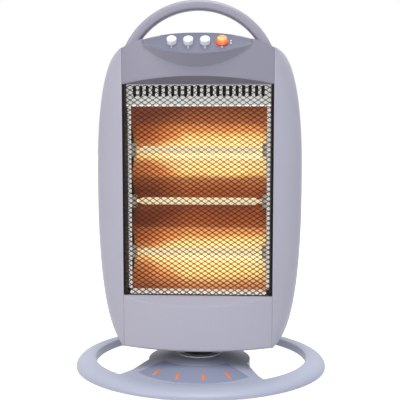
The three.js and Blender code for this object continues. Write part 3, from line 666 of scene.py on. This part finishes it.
def slope_place(x, lift=0.0):
    """Matrix of a button's seat on the slope; its Z points out of the slope."""
    pitch_x = 21.5 * MM
    _, _, _, _, lip, back, _ = top_profile(pitch_x)
    up = Vector((0, back[0] - lip[0], back[1] - lip[1])).normalized()
    across = Vector((1, 0, 0))
    out = across.cross(up)
    _, _, _, _, lip, back, _ = top_profile(x)
    seat = Vector((x, (lip[0] + back[0]) / 2, (lip[1] + back[1]) / 2)) + out * lift
    turn = Matrix((across, up, out)).transposed().to_4x4()
    return Matrix.Translation(seat) @ turn


BUTTONS = ("heat_button_1", "heat_button_2", "heat_button_3", "swing_button")


def button_x(node):
    low, high = box(node)
    return (low.x + high.x) / 2


class HEATER_OT_top_panel(bpy.types.Operator):
    """Model the top panel with its visor, ledge and button holes"""

    bl_idname = "heater.top_panel"
    bl_label = "Top panel"

    def execute(self, context):
        outlines = [self.hole(button_x(node)) for node in BUTTONS]
        bm = pierced(124, sum(TOP_ROWS), top_point, outlines)
        face_away(bm, Vector((0, 0, WINDOW_TOP + 20 * MM)))
        shell = piece("top_panel_shell", bm, panel_abs(), "head", ("top_panel",),
                      wall=sizes().wall, bevel=0.8 * MM, angle=26)
        shell.data.materials.append(moulded_abs("moulded_abs_control_field", colour("field"), roughness=0.5))
        for face in shell.data.polygons:
            if face.normal.z > 0.6 and face.center.y < SWIVEL.y + sizes().visor_back - 1 * MM:
                face.material_index = 1
        return {"FINISHED"}

    def hole(self, x):
        """Outline of a button's hole, in the shares of the panel's surface."""
        r = sizes().button_r + 0.5 * MM
        before, slope = sum(TOP_ROWS[:4]), TOP_ROWS[4]
        points = []
        for i in range(48):
            a = 2 * math.pi * i / 48
            p = slope_place(x) @ Vector((r * math.cos(a), r * math.sin(a), 0))
            lip, back = top_profile(p.x)[4:6]
            share = (p.z - lip[1]) / (back[1] - lip[1])
            points.append(((p.x / HALF + 1) / 2, (before + slope * share) / sum(TOP_ROWS)))
        return points


LOW_ROWS = (2, 5, 14, 3, 5)


def low_point(u, v):
    x = HALF * (2 * u - 1)
    face = bow_y(x)
    round_r = 2 * MM
    profile = [(FACE_Y + 3 * MM, WINDOW_LOW), (FACE_Y, WINDOW_LOW),
               (face, WINDOW_LOW - LEDGE_FALL * (FACE_Y - face)), (face, BODY_LOW + round_r),
               (face + round_r, BODY_LOW), (FACE_Y + 3 * MM, BODY_LOW)]
    y, z = along(profile, LOW_ROWS, v)
    return Vector((x, y, z))


class HEATER_OT_lower_panel(bpy.types.Operator):
    """Model the bowed lower panel with its upper ledge"""

    bl_idname = "heater.lower_panel"
    bl_label = "Lower panel"

    def execute(self, context):
        bm = grid(64, sum(LOW_ROWS), low_point)
        face_away(bm, Vector((0, FACE_Y + 10 * MM, (BODY_LOW + WINDOW_LOW) / 2)))
        piece("lower_panel_shell", bm, housing_abs(), "head", ("lower_panel",),
              wall=sizes().wall, bevel=0.8 * MM, angle=28)
        return {"FINISHED"}


REAR_ROWS = (4, 30, 4)


def rear_point(u, v):
    x = HALF * (2 * u - 1)
    crown = crown_z(x)
    front = PANEL_REAR + GAP
    profile = [(front, BODY_LOW), (REAR_Y, BODY_LOW), (REAR_Y, crown), (front, crown)]
    y, z = along(profile, REAR_ROWS, v)
    return Vector((x, y, z))


class HEATER_OT_rear_cover(bpy.types.Operator):
    """Model the rear cover with two rows of vents, its screws and the cord inlet"""

    bl_idname = "heater.rear_cover"
    bl_label = "Rear cover"

    def execute(self, context):
        slots = bmesh.new()
        for low in (150 * MM, 330 * MM):
            for i in range(-6, 7):
                merge(slots, slot_cutter((i * 12 * MM, REAR_Y, low + 27.5 * MM), 2 * MM, 27.5 * MM, 10 * MM))
        inlet = box("cord_inlet")
        hole = bmesh.new()
        bmesh.ops.create_cone(hole, cap_ends=True, segments=40, radius1=6.5 * MM, radius2=6.5 * MM,
                              depth=20 * MM)
        turn(hole, 90, "X")
        centre = (inlet[0] + inlet[1]) / 2
        move(hole, (centre.x, REAR_Y, centre.z))
        bm = grid(40, sum(REAR_ROWS), rear_point)
        face_away(bm, Vector((0, PANEL_REAR, CROWN_Z / 2)))
        piece("rear_cover_shell", bm, housing_abs(), "head", ("rear_cover",),
              wall=sizes().wall, bevel=0.8 * MM, angle=40, cutters=(slots, hole))
        screws = bmesh.new()
        for x in (-88 * MM, 88 * MM):
            for z in (70 * MM, 258 * MM, 432 * MM):
                dome = [(0, 1.6 * MM), (2.2 * MM, 1.5 * MM), (3.6 * MM, 0.6 * MM), (3.8 * MM, 0)]
                head = spin_profile(dome, steps=28)
                turn(head, -90, "X")
                move(head, (x, REAR_Y, z))
                close_holes(head)
                merge(screws, head)
        piece("rear_screws", screws, zinc_sheet(), "head", bevel=0.15 * MM)
        return {"FINISHED"}


# ------------------------------------------------------------------ handle
FOOT_ANGLE = 24                # degrees of the ellipse below each of the handle's feet
SQUARENESS = 0.55              # under 1 squares the handle's section


def handle_point(u, v):
    """Carrying arch: v runs along an ellipse from the left foot to the right, u round its section."""
    low, high = box("handle")
    thick, deep = sizes().handle_thick, high.y - low.y
    half, rise = sizes().handle_half, sizes().handle_rise
    a = math.pi - math.radians(FOOT_ANGLE + (180 - 2 * FOOT_ANGLE) * v)
    centre_z = high.z - thick / 2 - rise
    spine = Vector((half * math.cos(a), (low.y + high.y) / 2, centre_z + rise * math.sin(a)))
    out = Vector((math.cos(a) / half, 0, math.sin(a) / rise)).normalized()
    b = 2 * math.pi * u
    c, s = math.cos(b), math.sin(b)
    across = math.copysign(abs(c) ** SQUARENESS, c) * thick / 2
    depth = math.copysign(abs(s) ** SQUARENESS, s) * deep / 2
    return spine + out * across + Vector((0, depth, 0))


class HEATER_OT_handle(bpy.types.Operator):
    """Sweep the carrying handle along its arch"""

    bl_idname = "heater.handle"
    bl_label = "Handle"

    def execute(self, context):
        bm = grid(32, 96, handle_point)
        close_holes(bm)
        material = moulded_abs("moulded_abs_handle_grey", colour("handle"), roughness=0.36)
        piece("carrying_handle", bm, material, "head", ("handle",), bevel=0.5 * MM,
              angle=60)
        return {"FINISHED"}


# ------------------------------------------------------------------ window: grille, vents, reflector, tubes
class HEATER_OT_grille(bpy.types.Operator):
    """Make the expanded metal grille from a turned grid of inset cells"""

    bl_idname = "heater.grille"
    bl_label = "Grille"

    def execute(self, context):
        s = sizes()
        low, high = box("grille")
        wide, tall = high.x - low.x, high.z - low.z
        across = int(wide / s.mesh_pitch_x) + 2
        up = int(tall / s.mesh_pitch_z) + 2
        count = across + up
        bm = bmesh.new()
        bmesh.ops.create_grid(bm, x_segments=count, y_segments=count, size=count / 2)
        turn(bm, 45, "Z")
        root2 = math.sqrt(2)
        bmesh.ops.scale(bm, verts=bm.verts, vec=(s.mesh_pitch_x / root2, s.mesh_pitch_z / root2, 1))
        for axis, half in ((Vector((1, 0, 0)), wide / 2), (Vector((0, 1, 0)), tall / 2)):
            for side in (-1, 1):
                geom = bm.verts[:] + bm.edges[:] + bm.faces[:]
                bmesh.ops.bisect_plane(bm, geom=geom, plane_co=axis * half * side, plane_no=axis * side,
                                       clear_outer=True)
        tiny = [f for f in bm.faces if f.calc_area() < 4e-6]
        bmesh.ops.delete(bm, geom=tiny, context="FACES")
        cells = bm.faces[:]
        bmesh.ops.inset_individual(bm, faces=cells, thickness=s.strand / 2, use_even_offset=True)
        bmesh.ops.delete(bm, geom=cells, context="FACES")
        turn(bm, 90, "X")
        move(bm, (0, low.y, (low.z + high.z) / 2))
        bmesh.ops.recalc_face_normals(bm, faces=bm.faces)
        face_away(bm, Vector((0, 0, (low.z + high.z) / 2)))
        dark = sheet_metal("expanded_steel_black", srgb("#241e1c"), 0.42, metallic=0.7)
        piece("expanded_metal_grille", bm, dark, "head", ("grille",), wall=high.y - low.y)
        return {"FINISHED"}


class HEATER_OT_vent_plate(bpy.types.Operator):
    """Cut the row of slots in the bright plate over the reflector"""

    bl_idname = "heater.vent_plate"
    bl_label = "Vent plate"

    def execute(self, context):
        s = sizes()
        low, high = box("vent_plate")
        slots = bmesh.new()
        slot_low, slot_high = low.z + 12.7 * MM, low.z + 27.7 * MM
        for i in range(s.vent_slots):
            x = (i - (s.vent_slots - 1) / 2) * s.vent_pitch
            centre = (x, low.y, (slot_low + slot_high) / 2)
            merge(slots, slot_cutter(centre, 2.3 * MM, (slot_high - slot_low) / 2, 6 * MM))
        bm = block(low, (high.x, low.y + 1.2 * MM, high.z), 0.3 * MM)
        # the vent plate's sheet and foot carry the painted glow of the tubes
        bright = bright_plate()
        piece("vent_plate_sheet", bm, bright, "head", ("vent_plate",), cutters=(slots,))
        foot = block((low.x, low.y, low.z), (high.x, high.y, low.z + 1.2 * MM), 0.3 * MM)
        piece("vent_plate_foot", foot, bright, "head")
        return {"FINISHED"}


def tube_z(k):
    low, high = box(f"halogen_tube_{k}")
    return (low.z + high.z) / 2


class HEATER_OT_reflector(bpy.types.Operator):
    """Roll the three reflector troughs and fit the bright strips round them"""

    bl_idname = "heater.reflector"
    bl_label = "Reflector"

    def execute(self, context):
        low, high = box("reflector")
        pitch = tube_z(2) - tube_z(1)
        start = tube_z(1) - pitch / 2
        depth, edge = 30 * MM, 4.5 * MM

        def place(u, v):
            z = low.z + (high.z - low.z) * v
            t = min(max((z - start) / pitch, 0.0), 2.9999) % 1
            y = low.y + depth * (1 - abs(2 * t - 1) ** 2.2)
            return Vector((low.x + edge + (high.x - low.x - 2 * edge) * u, y, z))

        bm = grid(24, 120, place)
        face_away(bm, Vector((0, 0.2, 0.25)))
        troughs = piece("reflector_troughs", bm, lit_reflector("polished_aluminium_lit"), "head",
                        ("reflector",), wall=0.8 * MM)
        troughs.data.materials.append(sheet_metal("mill_finish_aluminium", srgb("#9c9ea3"), 0.5))
        for face in troughs.data.polygons:
            face.material_index = int(face.normal.y > 0)
        strips = bmesh.new()
        for x in (low.x, high.x - edge):
            merge(strips, block((x, low.y - 1 * MM, low.z), (x + edge, low.y, high.z), 0.2 * MM))
        # the rim strips and the sill carry the same painted glow
        piece("reflector_rim", strips, bright_plate(), "head")
        sill = block((low.x + edge, box("grille")[1].y + 0.5 * MM, low.z - 1.4 * MM),
                     (high.x - edge, low.y + 1 * MM, low.z - 0.2 * MM), 0.2 * MM)
        piece("reflector_sill", sill, bright_plate(), "head")
        # painted shade: a black sheet behind the vents keeps the inside of the shell dark
        top = box("vent_plate")[1].z + 4 * MM
        shade = block((low.x, low.y - 2 * MM, high.z), (high.x, low.y - 1 * MM, top))
        piece("painted_shade_behind_vents", shade, sheet_metal("blackened_steel", srgb("#0c0c0d"), 0.7, metallic=0.2), "head")
        return {"FINISHED"}


class HEATER_OT_tubes(bpy.types.Operator):
    """Make the three lit quartz tubes with their pinched ends and ceramic holders"""

    bl_idname = "heater.tubes"
    bl_label = "Halogen tubes"

    def execute(self, context):
        for k in (1, 2, 3):
            node = f"halogen_tube_{k}"
            low, high = box(node)
            half, r = (high.x - low.x) / 2, (high.z - low.z) / 2
            ends = [(0, -half), (r * 0.5, -half), (r * 0.62, -half + 5 * MM), (r, -half + 9 * MM)]
            profile = ends + [(p, -z) for p, z in reversed(ends)]
            bm = spin_profile(profile, steps=40)
            turn(bm, 90, "Y")
            centre = (low + high) / 2
            move(bm, centre)
            piece(f"quartz_tube_{k}", bm, glowing_quartz("quartz_glass_lit", 0.72), "head", (node,))
            for side in ("left", "right"):
                holder = f"tube_holder_{k}_{side}"
                a, b = box(holder)
                bm = block(a, b, 1.2 * MM, 3)
                piece(f"{holder}_ceramic", bm, fired_ceramic("fired_steatite"), "head", (holder,))
        return {"FINISHED"}


class HEATER_OT_inner_metal(bpy.types.Operator):
    """Give the sheet-metal frame and the drive their finishes"""

    bl_idname = "heater.inner_metal"
    bl_label = "Inner metal"

    def execute(self, context):
        black = black_nylon()
        zinc = zinc_sheet()
        # the brackets and floor plate share the near-black material first made for the painted shade sheet
        # behind the vents
        dark = sheet_metal("blackened_steel", srgb("#151618"), 0.45, metallic=0.6)
        finishes = {
            "left_bracket": dark, "right_bracket": dark, "floor_plate": dark, "swivel_post": zinc,
            "swivel_nut": zinc, "drive_arm": zinc, "crank": zinc, "swing_motor": zinc,
            "base_cover": black, "tip_switch": black, "cord_inlet": black,
            "terminal_block": gloss_button("polished_nylon_white", srgb("#eeeef0")),
            "tip_plunger": gloss_button("polished_nylon_white", srgb("#eeeef0")),
        }
        finishes.update({f"push_switch_{i}": black for i in range(1, 5)})
        for node, material in finishes.items():
            mesh = NODES[node].data
            mesh.materials.clear()
            mesh.materials.append(material)
        return {"FINISHED"}


# ------------------------------------------------------------------ buttons and their marks
class HEATER_OT_buttons(bpy.types.Operator):
    """Turn the four push buttons, the red collar and the plain white marks"""

    bl_idname = "heater.buttons"
    bl_label = "Push buttons"

    def execute(self, context):
        s = sizes()
        r, top = s.button_r, 7 * MM
        white = gloss_button("polished_abs_white", srgb("#f7f6fa"))
        # the orange cap carries a painted glow
        orange = gloss_button("polished_polycarbonate_orange", colour("orange"), glow=0.25)
        profile = [(0, -5.5 * MM), (r, -5.5 * MM), (r, top - 1.6 * MM), (r - 0.3 * MM, top - 0.8 * MM),
                   (r - 0.9 * MM, top - 0.2 * MM), (r - 1.7 * MM, top), (r - 2.4 * MM, top - 0.25 * MM),
                   (r * 0.4, top - 0.75 * MM), (0, top - 0.85 * MM)]
        for node in BUTTONS:
            bm = spin_profile(profile, steps=56)
            lay(bm, slope_place(button_x(node)))
            last = node == "swing_button"
            piece(f"{node}_cap", bm, orange if last else white, node, (node,))
        ring = [(r + 0.35 * MM, 0.2 * MM), (r + 2.1 * MM, 0.2 * MM), (r + 2.0 * MM, 1.1 * MM),
                (r + 1.5 * MM, 1.9 * MM), (r + 0.8 * MM, 2.2 * MM), (r + 0.35 * MM, 2.0 * MM)]
        bm = spin_profile(ring + [ring[0]], steps=56)
        lay(bm, slope_place(button_x("swing_button"), 0.4 * MM))
        # the red collar carries a painted glow
        red = gloss_button("polished_polycarbonate_red", colour("collar"), glow=0.15)
        piece("swing_button_red_collar", bm, red, "head", ("swing_button_collar",))
        # plain numerals under the buttons and two dots beside the last one
        ink = gloss_button("printed_white_ink", srgb("#f2f2f4"))
        for number, node in enumerate(BUTTONS, 1):
            self.numeral(str(number), button_x(node), ink)
        dots = bmesh.new()
        for step in (-1, 1):
            dot = spin_profile([(0, 0.25 * MM), (0.9 * MM, 0.2 * MM), (1.0 * MM, 0), (0, 0)], steps=20)
            offset = Matrix.Translation((11.5 * MM, step * 2.6 * MM - 0.5 * MM, 0))
            place = slope_place(button_x("swing_button"), 0.55 * MM)
            lay(dot, place @ offset)
            merge(dots, dot)
        piece("position_dots", dots, ink, "head")
        return {"FINISHED"}

    def numeral(self, text, x, ink):
        """One flat printed numeral on the slope, just under a button."""
        curve = bpy.data.curves.new("numeral", "FONT")
        curve.body = text
        curve.size = 5.6 * MM
        curve.align_x = "CENTER"
        curve.extrude = 0.05 * MM
        holder = bpy.data.objects.new("numeral", curve)
        bpy.context.scene.collection.objects.link(holder)
        bpy.context.view_layer.update()
        mesh = bpy.data.meshes.new_from_object(holder)
        bpy.data.objects.remove(holder)
        bm = bmesh.new()
        bm.from_mesh(mesh)
        bpy.data.meshes.remove(mesh)
        place = slope_place(x, 0.35 * MM) @ Matrix.Translation((0, -12.5 * MM, 0))
        lay(bm, place)
        piece(f"numeral_{text}", bm, ink, "head")


# ------------------------------------------------------------------ base
REST_TURN = Matrix.Rotation(math.radians(-5.4), 4, "Z")     # the base under the head at rest
SHOULDER_R = 40 * MM
HUB_FALL = 0.27
BORE_R = 8.3 * MM                # clears the swivel post
WEDGE_NEAR = 57 * MM
WEDGE_SPREAD = 0.62
SPOKE_HALF = 44 * MM
PAST_RING = 0.25               # the arms are trimmed to the ring's middle line
SKIRT_Z = 12.3 * MM
SKIRT_R = SHOULDER_R + (HUB_TOP - SKIRT_Z) / HUB_FALL


def soft_bend(value, half):
    """0 for negative values and the value itself for positive ones, with a round bend between."""
    if value <= -half:
        return 0.0
    return value if value >= half else (value + half) ** 2 / (4 * half)


def cone_z(r):
    """Top surface of the hub, wedge and spoke: flat, then falling, then level with the ring."""
    fall = soft_bend(r - SHOULDER_R, 8 * MM) - soft_bend(r - SKIRT_R, 6 * MM)
    return HUB_TOP - HUB_FALL * fall


def ring_plan(angle, share):
    """Point of the oval ring in plan: share 0 is its outer edge and 1 the edge of the opening."""
    s = sizes()
    back = s.ring_back + (s.hole_back - s.ring_back) * share
    return Vector(((s.ring_a + (s.hole_a - s.ring_a) * share) * math.cos(angle),
                   (s.ring_b + (s.hole_b - s.ring_b) * share) * math.sin(angle) + back, 0))


RING_SECTION = ((0, 1.5), (0, 4.6), (0.02, 6.4), (0.07, 8.3), (0.15, 10.3), (0.26, 11.9), (0.4, 13.1),
                (0.55, 13.8), (0.7, 14), (0.84, 13.8), (0.93, 13.3), (0.985, 12.5), (1, 11.6), (1, 1.5),
                (0, 1.5))


def ring_point(u, v):
    """Surface of the ring: u runs round the oval and v round its section."""
    share, z = RING_SECTION[round(v * (len(RING_SECTION) - 1))]
    return ring_plan(2 * math.pi * u, share) + Vector((0, 0, z * MM))


def cone_solid(reach, drop=0.0):
    """The hub's cone as a solid of revolution; drop lowers its top to hollow it."""
    low = FOOT_T if not drop else -5 * MM
    radii = [i / 48 * reach for i in range(1, 49)]
    return spin_profile([(0, low), (reach, low)] + [(r, cone_z(r) - drop) for r in radii[::-1]]
                        + [(0, HUB_TOP - drop)], steps=128)


def ellipse(a, b, steps=128):
    angles = [2 * math.pi * i / steps for i in range(steps)]
    return [(a * math.cos(t), b * math.sin(t)) for t in angles]


def slab(near, far, half_angle, top, low):
    """Fan that follows the cone's surface between two heights over it."""
    def place(u, v):
        a = -math.pi / 2 + half_angle * (2 * u - 1)
        r = near + (far - near) * v
        return Vector((r * math.cos(a), r * math.sin(a), cone_z(r) + low))

    bm = grid(48, 16, place)
    extrude(bm, (0, 0, top - low))
    return bm


class HEATER_OT_base(bpy.types.Operator):
    """Model the oval base: ring, hub, front wedge and rear spoke in one moulding"""

    bl_idname = "heater.base"
    bl_label = "Base moulding"

    def execute(self, context):
        s = sizes()
        low, high = -5 * MM, 60 * MM
        turn_back = REST_TURN.inverted()
        middle = [(turn_back @ ring_plan(2 * math.pi * i / 96, 0.5)).to_2d() for i in range(96)]
        wide = WEDGE_NEAR + WEDGE_SPREAD * PAST_RING
        wedge = prism([(-WEDGE_NEAR, 0), (-wide, -PAST_RING), (wide, -PAST_RING), (WEDGE_NEAR, 0)], low, high)
        spoke = prism([(-SPOKE_HALF, 0), (SPOKE_HALF, 0), (SPOKE_HALF, PAST_RING), (-SPOKE_HALF, PAST_RING)],
                      low, high)
        arms = boolean(boolean(wedge, spoke, "UNION"), prism(middle, low, high), "INTERSECT")
        plan = boolean(arms, prism(ellipse(s.hub_r, s.hub_r), low, high), "UNION")
        core = boolean(cone_solid(0.2), plan, "INTERSECT")
        hollow = cone_solid(s.hub_r - 3 * MM, 3 * MM)
        lay(core, REST_TURN)
        body = boolean(grid(160, len(RING_SECTION) - 1, ring_point), core, "UNION")
        body = boolean(body, hollow, "DIFFERENCE")
        body = boolean(body, prism(ellipse(BORE_R, BORE_R, 48), low, high), "DIFFERENCE")
        fit = 0.4 * MM
        pocket = slab(s.inset_near - fit, s.inset_far + fit, s.inset_angle + 0.006, 5 * MM, -1.6 * MM)
        lay(pocket, REST_TURN)
        body = boolean(body, pocket, "DIFFERENCE")
        piece("base_moulding_shell", body, base_abs(), "base", ("base_moulding",),
              bevel=1.2 * MM, angle=30)
        self.washer()
        self.feet()
        return {"FINISHED"}

    def washer(self):
        low, high = box("swivel_washer")
        r, z, top = (high.x - low.x) / 2, low.z, high.z
        profile = [(BORE_R, z), (r - 0.8 * MM, z), (r, z + 0.5 * MM), (r, top - 0.5 * MM),
                   (r - 0.8 * MM, top), (BORE_R, top), (BORE_R, z)]
        chrome = sheet_metal("polished_chrome", srgb("#ecebea"), 0.3, metallic=0.55)
        disc = spin_profile(profile, steps=120)
        piece("swivel_washer_disc", disc, chrome, "base", ("swivel_washer",))

    def feet(self):
        rubber = soft_rubber("moulded_rubber_black", srgb("#1b1b1d"))
        for i in range(1, 5):
            low, high = box(f"rubber_foot_{i}")
            r = (high.x - low.x) / 2
            foot = spin_profile([(0, 0), (r - 1 * MM, 0), (r, 0.8 * MM), (r, high.z), (0, high.z)], steps=40,
                                centre=((low.x + high.x) / 2, (low.y + high.y) / 2))
            piece(f"rubber_foot_pad_{i}", foot, rubber, "base", (f"rubber_foot_{i}",))


class HEATER_OT_inset(bpy.types.Operator):
    """Model the fan-shaped inset in the wedge and its four flame marks"""

    bl_idname = "heater.inset"
    bl_label = "Inset and marks"

    def execute(self, context):
        s = sizes()
        bm = slab(s.inset_near, s.inset_far, s.inset_angle, 0.15 * MM, -1.3 * MM)
        lay(bm, REST_TURN)
        inset = moulded_abs("moulded_abs_inset_grey", colour("inset"), roughness=0.5)
        piece("fan_inset", bm, inset, "base", ("marker_inset",), bevel=0.4 * MM)
        # the printed flame marks carry a painted glow
        orange = gloss_button("pad_printed_orange", colour("mark"), glow=0.1)
        for i in range(4):
            step = i - 1.5
            a = -math.pi / 2 + s.mark_step * step
            tilt = a - math.radians(2) * step
            mark = bmesh.new()
            bmesh.ops.create_circle(mark, cap_ends=True, segments=28, radius=1.0)
            for v in mark.verts:
                v.co.y *= (0.75 - 0.25 * v.co.x)
            bmesh.ops.scale(mark, verts=mark.verts, vec=(8.75 * MM, 2.8 * MM, 1))
            extrude(mark, (0, 0, 1.1 * MM))
            lean = Matrix.Rotation(math.atan(HUB_FALL), 4, "Y")
            seat = Vector((s.mark_r * math.cos(a), s.mark_r * math.sin(a), cone_z(s.mark_r) - 0.3 * MM))
            place = REST_TURN @ Matrix.Translation(seat) @ Matrix.Rotation(tilt, 4, "Z") @ lean
            lay(mark, place)
            piece(f"flame_mark_inlay_{i + 1}", mark, orange, "base", (f"flame_mark_{i + 1}",),
                  bevel=0.35 * MM, angle=50)
        return {"FINISHED"}


# ------------------------------------------------------------------ stage
class StageSettings(bpy.types.PropertyGroup):
    """Camera and floor."""

    azimuth: FloatProperty(name="Azimuth", description="Camera's angle round the heater",
                           default=math.radians(3.0), subtype="ANGLE")
    distance: FloatProperty(name="Distance", description="Camera's distance", default=1.137, unit="LENGTH")
    height: FloatProperty(name="Height", description="Camera's height", default=0.3618, unit="LENGTH")
    pitch: FloatProperty(name="Pitch", description="How far the camera looks down",
                         default=math.radians(5.98), subtype="ANGLE")
    focal: FloatProperty(name="Focal length", description="In pixels of a 400 pixel frame", default=827.1)
    floor: FloatVectorProperty(name="Floor", description="Colour of the floor", subtype="COLOR",
                               default=(0.55, 0.55, 0.55), size=3)


FRAME_PX = 400


def seen_directly(tree):
    """1 where the camera sees a surface, also in a mirror or through glass, and 0 elsewhere."""
    path = add(tree, "ShaderNodeLightPath").outputs
    seen = compute(tree, "MAXIMUM", path["Is Camera Ray"], path["Is Glossy Ray"])
    return compute(tree, "MAXIMUM", seen, path["Is Transmission Ray"])


@made_once
def studio_floor(tree, shader, rgb):
    """Matt white paper that keeps the heater's soft shadow."""
    fill(shader, {"Base Color": rgba(rgb), "Roughness": 0.9, "Specular IOR Level": 0.0,
                  "Emission Strength": compute(tree, "MULTIPLY", seen_directly(tree), 0.95),
                  "Emission Color": (1, 1, 1, 1)})


class HEATER_OT_stage(bpy.types.Operator):
    """Set the camera, the soft lights and the pale floor"""

    bl_idname = "heater.stage"
    bl_label = "Stage"

    def execute(self, context):
        scene = context.scene
        s = scene.heater_stage
        data = bpy.data.cameras.new("camera")
        data.sensor_width = 36.0
        data.sensor_fit = "HORIZONTAL"
        data.lens = s.focal / FRAME_PX * data.sensor_width
        data.shift_x = 0.0015
        camera = bpy.data.objects.new("camera", data)
        scene.collection.objects.link(camera)
        away = Vector((math.sin(s.azimuth), -math.cos(s.azimuth), 0)) * s.distance
        camera.location = SWIVEL + away + Vector((0, 0, s.height))
        camera.rotation_euler = (math.pi / 2 - s.pitch, 0, s.azimuth)
        scene.camera = camera
        self.lights(scene)
        self.floor(s)
        self.world(scene)
        scene.view_settings.view_transform = "Standard"
        return {"FINISHED"}

    def lights(self, scene):
        target = SWIVEL + Vector((0, 0, 0.25))
        for name, at, power, size, tint in (
                ("key_left", (-1.5, -1.7, 1.1), 14, 1.2, (1.0, 0.965, 0.94)),
                ("fill_right", (1.6, -1.2, 0.8), 3.4, 1.2, (0.74, 0.87, 1.0)),
                ("overhead", (0.1, -1.1, 1.95), 27, 1.0, (0.93, 0.97, 1.0)),
                ("top_back", (0.1, 0.6, 2.0), 10, 1.2, (1.0, 1.0, 1.0))):
            data = bpy.data.lights.new(name, "AREA")
            data.energy = power
            data.size = size
            data.color = tint
            lamp = bpy.data.objects.new(name, data)
            scene.collection.objects.link(lamp)
            lamp.location = at
            lamp.rotation_euler = (target - Vector(at)).to_track_quat("-Z", "Y").to_euler()

    def floor(self, s):
        bm = bmesh.new()
        bmesh.ops.create_grid(bm, x_segments=2, y_segments=2, size=6.0)
        floor = hidden(bm)
        floor.name = floor.data.name = "floor"
        floor.data.materials.append(studio_floor("studio_floor", s.floor))

    def world(self, scene):
        scene.world = bpy.data.worlds.new("studio")
        scene.world.use_nodes = True
        tree = scene.world.node_tree
        tree.nodes.clear()
        soft = add(tree, "ShaderNodeBackground", {"Color": (0.92, 0.94, 1.0, 1), "Strength": 0.44})
        bright = add(tree, "ShaderNodeBackground", {"Color": (1, 1, 1, 1), "Strength": 1.0})
        both = add(tree, "ShaderNodeMixShader",
                   {0: seen_directly(tree), 1: soft.outputs[0], 2: bright.outputs[0]})
        add(tree, "ShaderNodeOutputWorld", {"Surface": both.outputs[0]})


STEPS = ("stage", "housings", "top_panel", "lower_panel", "rear_cover", "handle", "grille", "vent_plate",
         "reflector", "tubes", "inner_metal", "buttons", "base", "inset")


class HEATER_PT_sidebar(bpy.types.Panel):
    """Lists the steps that build the heater"""

    bl_idname = "HEATER_PT_sidebar"
    bl_label = "Halogen heater"
    bl_space_type = "VIEW_3D"
    bl_region_type = "UI"
    bl_category = "Heater"

    def draw(self, context):
        for step in STEPS:
            self.layout.operator(f"heater.{step}")


CLASSES = (HeaterSizes, HeaterColours, StageSettings, HEATER_OT_housings, HEATER_OT_top_panel,
           HEATER_OT_lower_panel, HEATER_OT_rear_cover, HEATER_OT_handle, HEATER_OT_grille,
           HEATER_OT_vent_plate, HEATER_OT_reflector, HEATER_OT_tubes, HEATER_OT_inner_metal,
           HEATER_OT_buttons, HEATER_OT_base, HEATER_OT_inset, HEATER_OT_stage, HEATER_PT_sidebar)


def register():
    for cls in CLASSES:
        bpy.utils.register_class(cls)
    bpy.types.Scene.heater_sizes = PointerProperty(type=HeaterSizes)
    bpy.types.Scene.heater_colours = PointerProperty(type=HeaterColours)
    bpy.types.Scene.heater_stage = PointerProperty(type=StageSettings)


def unregister():
    del bpy.types.Scene.heater_stage
    del bpy.types.Scene.heater_colours
    del bpy.types.Scene.heater_sizes
    for cls in reversed(CLASSES):
        bpy.utils.unregister_class(cls)


def main():
    register()
    for step in STEPS:
        getattr(bpy.ops.heater, step)()


if __name__ == "__main__":
    main()
